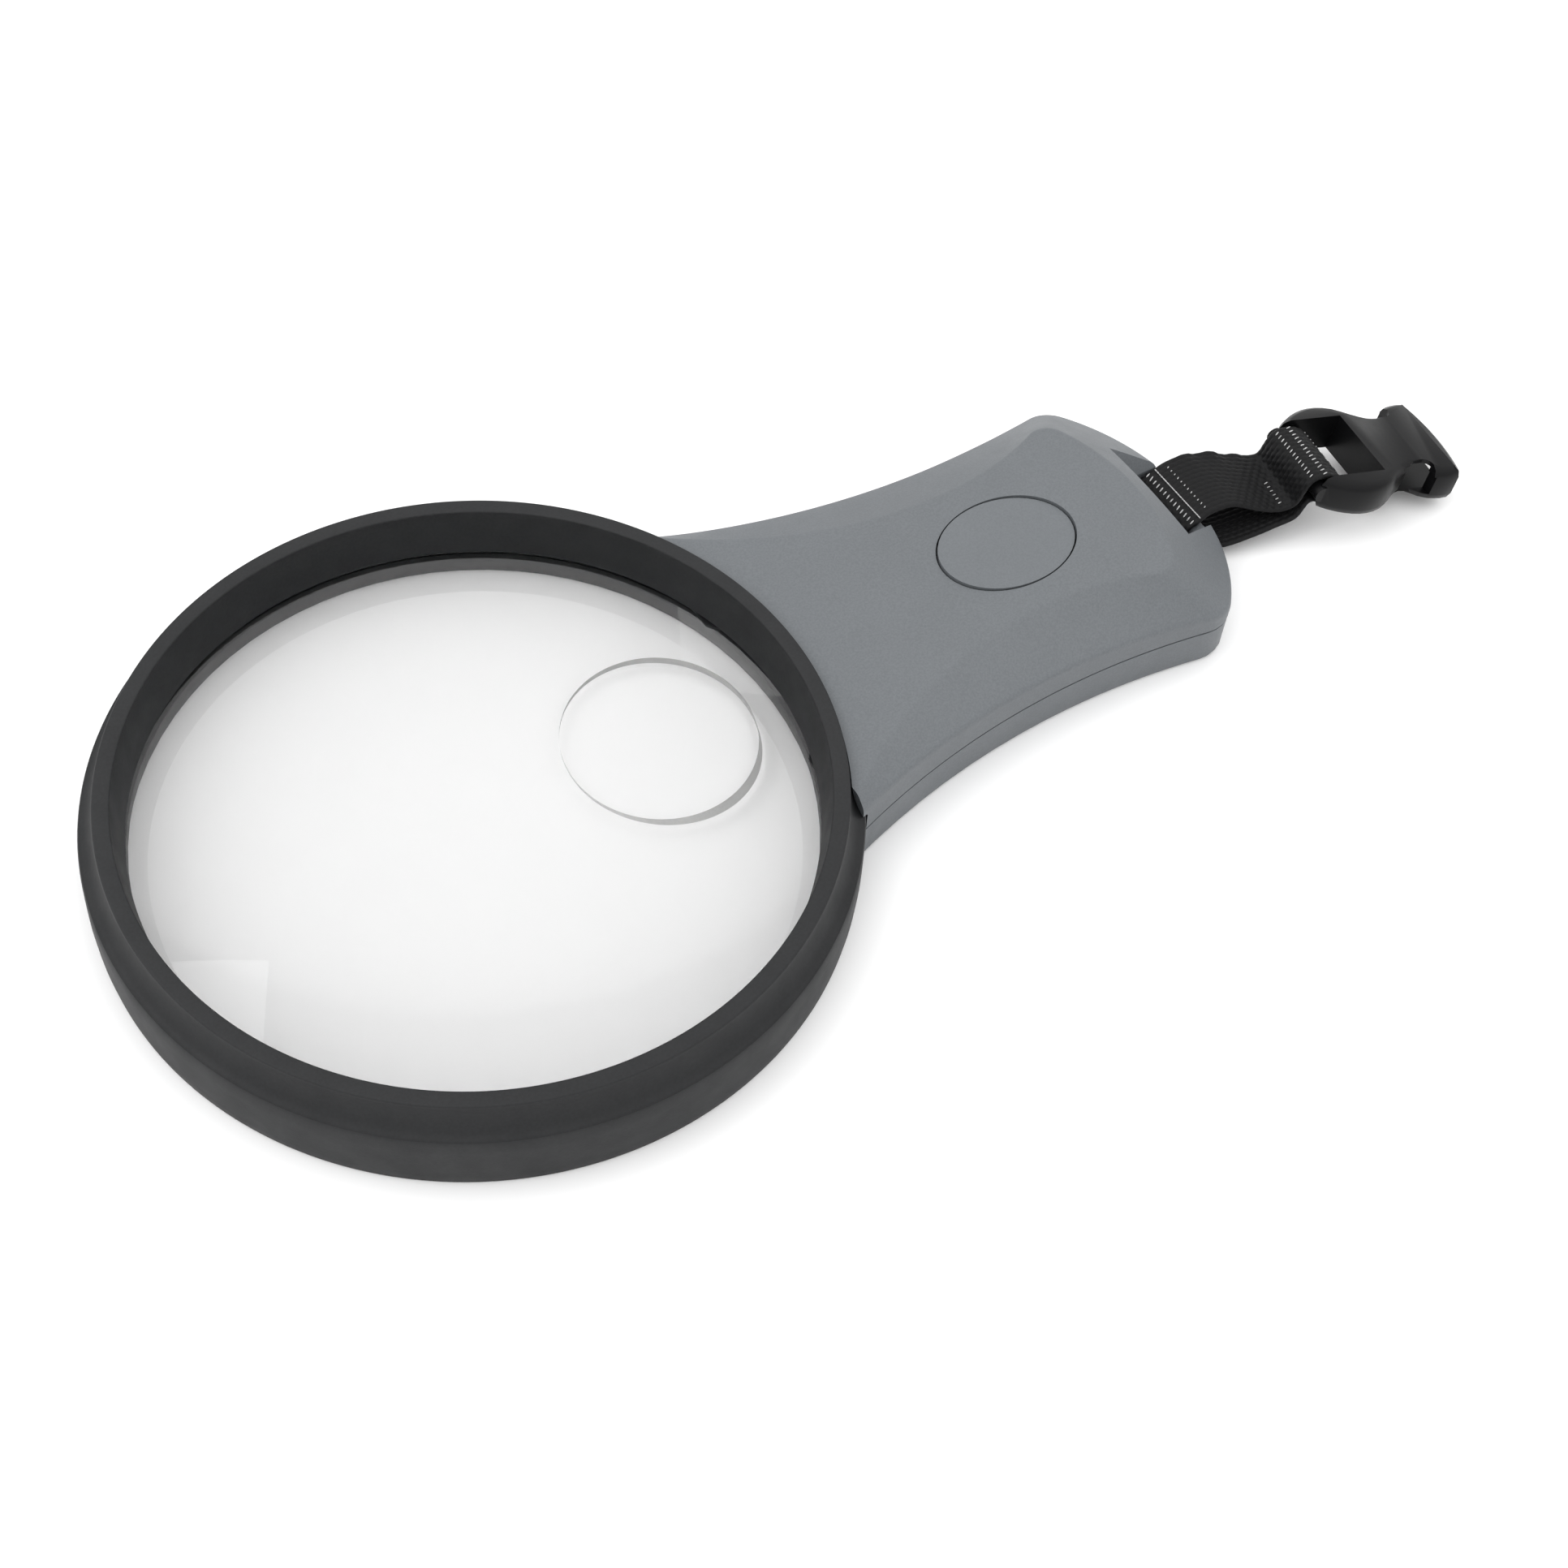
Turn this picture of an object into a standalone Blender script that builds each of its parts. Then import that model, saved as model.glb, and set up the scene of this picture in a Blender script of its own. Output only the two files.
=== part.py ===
"""Lighted low vision magnifier.

A round lens with a moulded spot lens sits in a coved ring frame. A two-shell handle holds the light
switch, two cells and two LEDs, and a webbing loop on its end carries the socket half of a buckle.

Units are metres and +Z is up. The lens axis is vertical, the handle points along +X, and the part
lies on Z = 0 with the middle of its bounding box over the origin. Heights and distances below are
measured from the lens axis, and the root empty places that axis in the world.
"""
import math
from collections import namedtuple

import bmesh
import bpy
from mathutils import Euler, Matrix, Vector

MM = 0.001
GAP = 0.3 * MM                 # clearance left between pieces that touch
OVERLAP = 0.4 * MM             # how far joined shapes run into each other
FAR = 40 * MM                  # more than any height of the part, for cutters

LENS_AXIS_X = -64.96 * MM

# Ring frame and lens
RIM_BAND_R = 60.7 * MM
RIM_BAND_TOP = 12.0 * MM
RIM_TOP_R = 57.75 * MM
RIM_TOP = 17.6 * MM
RIM_INNER_R = 55.0 * MM
SEAT_R = 53.7 * MM
SEAT_Z = 9.15 * MM
LENS_R = 55.0 * MM
LENS_EDGE = (5.6 * MM, 8.65 * MM)
LENS_TOP_CURVE_R = 240 * MM
LENS_BOTTOM_CURVE_R = 2000 * MM
SPOT_X = 32.5 * MM
SPOT_R = 15.4 * MM
SPOT_CURVE_R = 300 * MM
SPOT_STEP = 3.2 * MM
RETAINER_Z = (0.5 * MM, 5.2 * MM)
EAR_END_X = 74.5 * MM
EAR_Y = (14 * MM, 23 * MM)
EAR_Z = (4.2 * MM, 6.8 * MM)

# Handle outline: two concave sides, two round corners and a bowed end
Outline = namedtuple("Outline", "waist_x waist_y front_r rear_r corner_r end_r end_x")
WALL = Outline(99 * MM, 24.4 * MM, 147 * MM, 147 * MM, 6.5 * MM, 36.3 * MM, 140.3 * MM)
PLATEAU = Outline(98 * MM, 14.2 * MM, 77 * MM, 51 * MM, 4.0 * MM, 38.0 * MM, 126.1 * MM)
HANDLE_FRONT_X = 50.5 * MM
SEAM_Z = 7.6 * MM
SHELL_T = 2.0 * MM
FLOOR_Z = 2.0 * MM
NECK_WALL_R = 63.0 * MM        # inside of the handle's front wall, about the lens axis

# Strap slot in the end of the handle
BAR_X, BAR_Z = 137.9 * MM, 5.25 * MM
BAR_SIZE = (4.4 * MM, 4.1 * MM)
SLOT_X = 133.4 * MM
SLOT_HALF = 7.9 * MM
SCOOP_Z = (8.5 * MM, 18.0 * MM)
SCOOP_LEAN = 0.48              # how far the scoop's front leans back for each unit of height
SCOOP_FLARE = 0.6              # how far its sides open for each unit of height

# Light button
BUTTON_X = 100 * MM
BUTTON_HALF = (12.8 * MM, 9.6 * MM)
FLANGE_Z = (13.9 * MM, 14.7 * MM)
STEM_FOOT_Z = 13.2 * MM

# Electrics
BOARD_X = (80.4 * MM, 120 * MM)
BOARD_HALF = 9.2 * MM
BOARD_Z = (7.6 * MM, 8.6 * MM)
CELL_Y = 15.5 * MM
CELL_Z = 7.6 * MM
CELL_R = 5.25 * MM
CELL_LENGTH = 44.5 * MM
FRONT_PLATE_X = 76.8 * MM
REAR_PLATE_X = 126.9 * MM
PLATE_T = 0.4 * MM
LED_TIP = Vector((66.8 * MM, 0, 3.9 * MM))
LED_TILT = math.radians(35)
LED_Y = 5.5 * MM
WINDOW_X = (64.6 * MM, 71.6 * MM)
WINDOW_HALF = 9.2 * MM

# Battery door, hooked at its front edge
DOOR_X = (78.0 * MM, 125.9 * MM)
DOOR_HALF = 20.8 * MM
DOOR_Z = (0.25 * MM, 1.75 * MM)
DOOR_CLEARANCE = 0.4 * MM

# Screws
FRONT_SCREW = (69.5 * MM, 18.5 * MM)
REAR_SCREW = (130.7 * MM, 15.6 * MM)
SCREW_HEAD_R = 2.1 * MM
SCREW_SHANK_R = 1.0 * MM
SCREW_HEAD_Z = (1.0 * MM, 2.8 * MM)
SCREW_TIP_Z = 10.5 * MM
SCREW_SEAT_Z = 3.1 * MM
LOWER_BOSS_R = 3.0 * MM
UPPER_BOSS_R = 2.6 * MM
REAR_BOSS_TOP = 11.3 * MM

# Webbing and buckle. The buckle leans down towards its mouth, which touches the table.
WEB_HALF = 7.0 * MM
WEB_T = 1.3 * MM
BUCKLE_BAR = Vector((161.0 * MM, -5.1 * MM, 10.2 * MM))
BUCKLE_TURN = tuple(math.radians(angle) for angle in (-4.5, 11.5, -10.0))
BUCKLE_BAR_R = 1.5 * MM
BUCKLE_T = 7.4 * MM
BUCKLE_END = 29.8 * MM
BUCKLE_END_BOW = 1.0 * MM
BUCKLE_EDGE = 1.9 * MM
WEB_OPENING_END = 12.5 * MM
SOCKET_HALF = (7.4 * MM, 2.8 * MM)
SOCKET_START = 15.0 * MM

# Middle lines of the two strands between the bars in millimetres, and how far each point has
# turned from the strap bar's direction to the web bar's, and how much its far edge is lifted
UPPER_STRAND = ((141.5, 1.0, 8.6), (146.0, 0.3, 8.9), (150.5, -1.7, 8.0), (154.3, -3.3, 7.1),
                (157.2, -4.3, 7.6))
UPPER_TURN = (0.1, 0.35, 0.65, 0.85, 1.0)
UPPER_LIFT = (0.0, 0.03, 0.12, 0.10, 0.03)
LOWER_STRAND = ((141.0, -1.2, 2.2), (144.0, -2.6, 2.3), (149.0, -3.7, 3.0), (153.5, -4.6, 4.0),
                (157.2, -5.2, 5.0))
LOWER_TURN = (0.2, 0.5, 0.8, 1.0, 1.0)


def clear_scene():
    for obj in list(bpy.data.objects):
        bpy.data.objects.remove(obj, do_unlink=True)


# ---------------------------------------------------------------- building blocks

def make_material(name, color, roughness, metallic=0.0, transmission=0.0):
    material = bpy.data.materials.new(name)
    material.use_nodes = True
    shader = material.node_tree.nodes["Principled BSDF"]
    shader.inputs["Base Color"].default_value = (*color, 1.0)
    shader.inputs["Roughness"].default_value = roughness
    shader.inputs["Metallic"].default_value = metallic
    shader.inputs["Transmission Weight"].default_value = transmission
    return material


def make_empty(name, parent, location=(0, 0, 0), rotation=(0, 0, 0)):
    empty = bpy.data.objects.new(name, None)
    bpy.context.scene.collection.objects.link(empty)
    empty.parent = parent
    empty.location = location
    empty.rotation_euler = rotation
    return empty


def finish_mesh(bm, name, smooth_angle=30):
    bmesh.ops.remove_doubles(bm, verts=bm.verts, dist=0.001 * MM)
    bmesh.ops.recalc_face_normals(bm, faces=bm.faces)
    mesh = bpy.data.meshes.new(name)
    bm.to_mesh(mesh)
    bm.free()
    mesh.shade_smooth()
    mesh.set_sharp_from_angle(angle=math.radians(smooth_angle))
    return mesh


def add_part(name, mesh, material, parent, location=(0, 0, 0), rotation=(0, 0, 0)):
    obj = bpy.data.objects.new(name, mesh)
    bpy.context.scene.collection.objects.link(obj)
    obj.parent = parent
    obj.location = location
    obj.rotation_euler = rotation
    if material:
        mesh.materials.append(material)
    return obj


def add_cutter(name, mesh, parent, location=(0, 0, 0), rotation=(0, 0, 0)):
    cutter = add_part(name, mesh, None, parent, location, rotation)
    cutter.hide_render = True
    cutter.display_type = "WIRE"
    return cutter


def boolean(obj, tool, operation="DIFFERENCE"):
    modifier = obj.modifiers.new(operation.lower() + "_" + tool.name, "BOOLEAN")
    modifier.operation = operation
    modifier.solver = "EXACT"
    modifier.object = tool


def box_mesh(name, xs, ys, zs):
    bm = bmesh.new()
    bmesh.ops.create_cube(bm, size=1.0)
    size = Vector((xs[1] - xs[0], ys[1] - ys[0], zs[1] - zs[0]))
    middle = Vector((sum(xs) / 2, sum(ys) / 2, sum(zs) / 2))
    bmesh.ops.scale(bm, vec=size, verts=bm.verts)
    bmesh.ops.translate(bm, vec=middle, verts=bm.verts)
    return finish_mesh(bm, name)


def add_cylinder(bm, radius, start, end, segments=24, end_radius=None):
    """Adds a capped cylinder or cone from start to end."""
    start, end = Vector(start), Vector(end)
    axis = end - start
    turn = Vector((0, 0, 1)).rotation_difference(axis.normalized()).to_matrix().to_4x4()
    place = Matrix.Translation((start + end) / 2) @ turn
    top = radius if end_radius is None else end_radius
    bmesh.ops.create_cone(bm, cap_ends=True, segments=segments, radius1=radius, radius2=top,
                          depth=axis.length, matrix=place)


def cylinder_mesh(name, radius, start, end, segments=24):
    bm = bmesh.new()
    add_cylinder(bm, radius, start, end, segments)
    return finish_mesh(bm, name)


def revolve_mesh(name, profile, segments, ring=True, smooth_angle=30):
    """Turns a profile of (radius, height) points about Z. A ring's profile is a closed loop."""
    bm = bmesh.new()
    points = [bm.verts.new((radius, 0, height)) for radius, height in profile]
    edges = [bm.edges.new(pair) for pair in zip(points, points[1:])]
    if ring:
        edges.append(bm.edges.new((points[-1], points[0])))
    bmesh.ops.spin(bm, geom=points + edges, cent=(0, 0, 0), axis=(0, 0, 1), angle=2 * math.pi,
                   steps=segments, use_merge=True, use_duplicate=False)
    return finish_mesh(bm, name, smooth_angle)


def extrude_mesh(name, outline, z_low, z_high):
    """A prism over a plan outline of (x, y) points."""
    bm = bmesh.new()
    face = bm.faces.new([bm.verts.new((x, y, z_low)) for x, y in outline])
    raised = bmesh.ops.extrude_face_region(bm, geom=[face])["geom"]
    lifted = [item for item in raised if isinstance(item, bmesh.types.BMVert)]
    bmesh.ops.translate(bm, vec=(0, 0, z_high - z_low), verts=lifted)
    return finish_mesh(bm, name)


def hull_mesh(name, points):
    bm = bmesh.new()
    for point in points:
        bm.verts.new(point)
    bmesh.ops.convex_hull(bm, input=bm.verts)
    return finish_mesh(bm, name)


def arc(center, radius, start, end, steps):
    """Points on an arc, angles in radians, both ends included."""
    angles = [start + (end - start) * i / steps for i in range(steps + 1)]
    return [(center[0] + radius * math.cos(a), center[1] + radius * math.sin(a)) for a in angles]


def rounded_rectangle(xs, ys, radius, steps=4):
    corners = [((xs[1] - radius, ys[1] - radius), 0), ((xs[0] + radius, ys[1] - radius), 1),
               ((xs[0] + radius, ys[0] + radius), 2), ((xs[1] - radius, ys[0] + radius), 3)]
    points = []
    for center, quarter in corners:
        start = quarter * math.pi / 2
        points += arc(center, radius, start, start + math.pi / 2, steps)
    return points


def ellipse(center_x, half_x, half_y, steps=48):
    angles = [2 * math.pi * i / steps for i in range(steps)]
    return [(center_x + half_x * math.cos(a), half_y * math.sin(a)) for a in angles]


def smooth_curve(points, steps, closed=False):
    """Catmull-Rom curve through the points."""
    points = [Vector(point) for point in points]
    count = len(points)
    spans = count if closed else count - 1
    curve = []
    for i in range(spans):
        if closed:
            p0, p1, p2, p3 = (points[(i + k) % count] for k in (-1, 0, 1, 2))
        else:
            p0, p3 = points[max(i - 1, 0)], points[min(i + 2, count - 1)]
            p1, p2 = points[i], points[i + 1]
        for k in range(steps):
            t = k / steps
            curve.append(0.5 * (2 * p1 + (p2 - p0) * t + (2 * p0 - 5 * p1 + 4 * p2 - p3) * t ** 2
                                + (3 * p1 - 3 * p2 + p3 - p0) * t ** 3))
    if not closed:
        curve.append(points[-1])
    return curve


# ---------------------------------------------------------------- handle shapes

def inset(outline, distance):
    return Outline(outline.waist_x, outline.waist_y - distance, outline.front_r + distance,
                   outline.rear_r + distance, outline.corner_r - distance,
                   outline.end_r - distance, outline.end_x - distance)


def circles_cross(center_a, radius_a, center_b, radius_b):
    """The crossing of two circles that lies further along +X."""
    a, b = Vector(center_a), Vector(center_b)
    span = (b - a).length
    along = (radius_a ** 2 - radius_b ** 2 + span ** 2) / (2 * span)
    side = math.sqrt(radius_a ** 2 - along ** 2)
    axis = (b - a) / span
    across = Vector((-axis.y, axis.x))
    return max((a + axis * along + across * side, a + axis * along - across * side),
               key=lambda point: point.x)


def half_outline(outline, front_x, side_steps=9, corner_steps=4, end_steps=6):
    """The +Y half of the outline, from the front edge round the corner to the end's middle."""
    front_center = Vector((outline.waist_x, outline.waist_y + outline.front_r))
    rear_center = Vector((outline.waist_x, outline.waist_y + outline.rear_r))
    end_center = Vector((outline.end_x - outline.end_r, 0))
    corner = circles_cross(rear_center, outline.rear_r + outline.corner_r,
                           end_center, outline.end_r - outline.corner_r)

    down = -math.pi / 2
    start = down - math.asin((outline.waist_x - front_x) / outline.front_r)
    points = arc(front_center, outline.front_r, start, down, side_steps)[:-1]
    to_corner = corner - rear_center
    points += arc(rear_center, outline.rear_r, down, math.atan2(to_corner.y, to_corner.x),
                  side_steps)[:-1]
    to_side = rear_center - corner
    to_end = corner - end_center
    end_angle = math.atan2(to_end.y, to_end.x)
    points += arc(corner, outline.corner_r, math.atan2(to_side.y, to_side.x), end_angle,
                  corner_steps)[:-1]
    points += arc(end_center, outline.end_r, end_angle, 0, end_steps)
    return points


def plateau_height(x):
    """The plateau rises a little from the ring to the end."""
    return 17.33 * MM + 0.039 * (x - 95 * MM)


def wall_height(x):
    """The side wall's top edge falls away towards the end."""
    fall = max(x - 105 * MM, 0) / MM
    return 12.57 * MM - 0.026 * (x - 95 * MM) - 0.00196 * fall ** 2 * MM


def level(height):
    return lambda x: height


def between(low, high, share):
    """A half outline part of the way from one half outline to another."""
    return [(a[0] + (b[0] - a[0]) * share, a[1] + (b[1] - a[1]) * share)
            for a, b in zip(low, high)]


def stacked_form(name, levels):
    """A closed body from half outlines stacked bottom to top, each with its height function."""
    bm = bmesh.new()
    loops = []
    for half, height in levels:
        right = [bm.verts.new((x, y, height(x))) for x, y in half]
        left = [bm.verts.new((x, -y, height(x))) for x, y in half[:-1]] + [right[-1]]
        loops.append((right, left))
    for lower, upper in zip(loops, loops[1:]):
        for side_low, side_high in zip(lower, upper):
            for i in range(len(side_low) - 1):
                bm.faces.new((side_low[i], side_low[i + 1], side_high[i + 1], side_high[i]))
    for right, left in (loops[0], loops[-1]):
        for i in range(len(right) - 2):
            bm.faces.new((right[i], right[i + 1], left[i + 1], left[i]))
        bm.faces.new((right[-2], right[-1], left[-2]))
    front = [right[0] for right, left in loops] + [left[0] for right, left in reversed(loops)]
    bm.faces.new(front)
    return finish_mesh(bm, name)


def upper_form(name, bottom_z, thickness=0.0):
    """The upper shell's outer form, or its inner form when a wall thickness is given."""
    wall = half_outline(inset(WALL, thickness), HANDLE_FRONT_X)
    plateau = half_outline(inset(PLATEAU, thickness * 0.3), HANDLE_FRONT_X)
    drop = thickness * 0.9

    def wall_top(x):
        return wall_height(x) - drop

    def plateau_top(x):
        return plateau_height(x) - thickness

    def mid_bevel(x):
        return 0.45 * wall_top(x) + 0.55 * plateau_top(x)

    levels = [(wall, level(bottom_z)), (wall, wall_top),
              (between(wall, plateau, 0.5), mid_bevel), (plateau, plateau_top)]
    return stacked_form(name, levels)


def lower_form(name, bottom_z, top_z, thickness=0.0):
    wall = half_outline(inset(WALL, thickness), HANDLE_FRONT_X)
    if thickness:
        return stacked_form(name, [(wall, level(bottom_z)), (wall, level(top_z))])
    edge = half_outline(inset(WALL, 0.9 * MM), HANDLE_FRONT_X)
    rounding = half_outline(inset(WALL, 0.25 * MM), HANDLE_FRONT_X)
    levels = [(edge, level(bottom_z)), (rounding, level(bottom_z + 0.3 * MM)),
              (wall, level(bottom_z + 1.0 * MM)), (wall, level(top_z))]
    return stacked_form(name, levels)


# ---------------------------------------------------------------- ring frame and lens

def rim_outer_profile():
    """The rim's outer side from the base up to the top edge: band, crease and cove."""
    cove_depth = RIM_BAND_R - RIM_TOP_R - 0.3 * MM
    cove_rise = RIM_TOP - RIM_BAND_TOP - 0.5 * MM
    profile = [(RIM_BAND_R - 0.9 * MM, 0), (RIM_BAND_R - 0.4 * MM, 0.5 * MM),
               (RIM_BAND_R, 6 * MM), (RIM_BAND_R - 0.1 * MM, RIM_BAND_TOP - 0.5 * MM)]
    for step in range(7):
        turn = math.pi / 2 * step / 6
        radius = RIM_TOP_R + cove_depth * (1 - math.sin(turn))
        profile.append((radius, RIM_BAND_TOP + cove_rise * (1 - math.cos(turn))))
    profile.append((RIM_TOP_R - 0.05 * MM, RIM_TOP - 0.2 * MM))
    return profile


def rim_profile():
    inner_bore = LENS_R + 0.3 * MM
    inner = [(RIM_TOP_R - 0.3 * MM, RIM_TOP), (RIM_INNER_R + 0.25 * MM, RIM_TOP),
             (RIM_INNER_R, RIM_TOP - 0.25 * MM), (SEAT_R, SEAT_Z),
             (inner_bore, SEAT_Z), (inner_bore, 0)]
    return rim_outer_profile() + inner


def make_rim(parent, material):
    rim = add_part("rim", revolve_mesh("rim", rim_profile(), 84), material, parent)
    for side, label in ((1, "left"), (-1, "right")):
        ys = sorted((side * EAR_Y[0], side * EAR_Y[1]))
        start_x = math.sqrt(RIM_BAND_R ** 2 - EAR_Y[0] ** 2) - 4.5 * MM
        ear = rounded_rectangle((start_x, EAR_END_X), ys, 1.5 * MM)
        boolean(rim, add_cutter("rim_ear_" + label, extrude_mesh("rim_ear_" + label, ear, *EAR_Z),
                                parent), "UNION")
        hole = cylinder_mesh("ear_hole_" + label, SCREW_SHANK_R + GAP,
                             (FRONT_SCREW[0], side * FRONT_SCREW[1], -FAR),
                             (FRONT_SCREW[0], side * FRONT_SCREW[1], FAR), 16)
        boolean(rim, add_cutter("ear_hole_" + label, hole, parent))
    return rim


def lens_surface(curve_r, edge_z, up, steps, outer_r=LENS_R, center_r=0.0):
    """Points of a spherical cap from its edge to its centre."""
    sag_edge = curve_r - math.sqrt(curve_r ** 2 - outer_r ** 2)
    points = []
    for step in range(steps + 1):
        radius = outer_r + (center_r - outer_r) * step / steps
        sag = curve_r - math.sqrt(curve_r ** 2 - radius ** 2)
        points.append((radius, edge_z + up * (sag_edge - sag)))
    return points


def make_lens(parent, material):
    top = lens_surface(LENS_TOP_CURVE_R, LENS_EDGE[1], 1, 8)
    bottom = lens_surface(LENS_BOTTOM_CURVE_R, LENS_EDGE[0], -1, 7)
    lens = add_part("main_lens", revolve_mesh("main_lens", bottom[::-1] + top, 72, ring=False),
                    material, parent)
    sag_edge = LENS_BOTTOM_CURVE_R - math.sqrt(LENS_BOTTOM_CURVE_R ** 2 - LENS_R ** 2)
    sag_spot = LENS_BOTTOM_CURVE_R - math.sqrt(LENS_BOTTOM_CURVE_R ** 2 - SPOT_X ** 2)
    base_z = LENS_EDGE[0] - (sag_edge - sag_spot)
    cap = lens_surface(SPOT_CURVE_R, 0, -1, 4, SPOT_R)
    cap_depth = -cap[-1][1]
    rim_z = base_z - SPOT_STEP + cap_depth
    profile = [(0, base_z + 2 * MM), (SPOT_R, base_z + 2 * MM)]
    profile += [(radius, rim_z + height) for radius, height in cap]
    spot = add_cutter("spot_lens", revolve_mesh("spot_lens", profile, 40, ring=False), parent,
                      (SPOT_X, 0, 0))
    boolean(lens, spot, "UNION")
    return lens


def make_retainer(parent, material):
    low, high = RETAINER_Z
    profile = [(LENS_R - 1.9 * MM, low), (LENS_R, low), (LENS_R, high), (LENS_R - 1.4 * MM, high),
               (LENS_R - 1.9 * MM, high - 1.5 * MM)]
    return add_part("lens_retaining_ring", revolve_mesh("lens_retaining_ring", profile, 72),
                    material, parent)


# ---------------------------------------------------------------- handle shells

def add_handle_cutters(parent):
    """Cutters that both shells share."""
    outer = [(radius + GAP, height) for radius, height in rim_outer_profile()]
    profile = [(0, -MM), (outer[0][0] + 0.9 * MM, -MM)] + outer[2:]
    profile += [(outer[-1][0], FAR), (0, FAR)]
    tools = {"rim": revolve_mesh("rim_clearance", profile, 84, ring=False)}
    tools["slot"] = box_mesh("strap_slot", (SLOT_X, SLOT_X + FAR), (-SLOT_HALF, SLOT_HALF),
                             (-FAR, FAR))
    scoop_rise = SCOOP_Z[1] - SCOOP_Z[0]
    corners = []
    for height, front, half in ((SCOOP_Z[0], SLOT_X, SLOT_HALF),
                                (SCOOP_Z[1], SLOT_X - SCOOP_LEAN * scoop_rise,
                                 SLOT_HALF + SCOOP_FLARE * scoop_rise)):
        for x in (front, SLOT_X + FAR):
            corners += [(x, half, height), (x, -half, height)]
    tools["scoop"] = hull_mesh("strap_scoop", corners)
    return {key: add_cutter(mesh.name, mesh, parent) for key, mesh in tools.items()}


def boss_mesh(name, center, radius, z_low, z_high):
    return cylinder_mesh(name, radius, (*center, z_low), (*center, z_high), 20)


def screw_places():
    return [(x, side * y) for x, y in (FRONT_SCREW, REAR_SCREW) for side in (1, -1)]


def make_upper_shell(parent, material, shared):
    bottom = SEAM_Z + GAP / 2
    shell = add_part("handle_upper_shell", upper_form("handle_upper_shell", bottom), material,
                     parent)
    cavity = add_cutter("upper_cavity", upper_form("upper_cavity", bottom - MM, SHELL_T), parent)
    neck = cylinder_mesh("upper_neck_wall", NECK_WALL_R, (0, 0, -FAR), (0, 0, FAR), 84)
    end_block = box_mesh("upper_end_block", (SLOT_X - 5.2 * MM, SLOT_X + FAR),
                         (-13.2 * MM, 13.2 * MM), (-FAR, FAR))
    for mesh in (neck, end_block):
        boolean(cavity, add_cutter(mesh.name, mesh, parent))
    boolean(shell, cavity)

    for index, (x, y) in enumerate(screw_places()):
        at_front = x < BUTTON_X
        foot = EAR_Z[1] + GAP if at_front else bottom
        top = plateau_height(x) - 1.6 * MM if at_front else REAR_BOSS_TOP
        boss = boss_mesh(f"upper_boss_{index}", (x, y), UPPER_BOSS_R, foot, top)
        boolean(shell, add_cutter(boss.name, boss, parent), "UNION")
        pilot = boss_mesh(f"upper_pilot_{index}", (x, y), SCREW_SHANK_R + GAP, -FAR,
                          SCREW_TIP_Z + GAP)
        boolean(shell, add_cutter(pilot.name, pilot, parent))
    for index, x in enumerate(board_screw_xs()):
        post = boss_mesh(f"board_post_{index}", (x, 0), 2.2 * MM, BOARD_Z[1] + GAP,
                         plateau_height(x) - MM)
        boolean(shell, add_cutter(post.name, post, parent), "UNION")
        pilot = boss_mesh(f"board_pilot_{index}", (x, 0), 0.8 * MM + GAP, -FAR, 13.0 * MM)
        boolean(shell, add_cutter(pilot.name, pilot, parent))

    hole = extrude_mesh("button_hole", ellipse(BUTTON_X, *BUTTON_HALF), 12 * MM, FAR)
    boolean(shell, add_cutter(hole.name, hole, parent))
    for tool in shared.values():
        boolean(shell, tool)
    return shell


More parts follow.
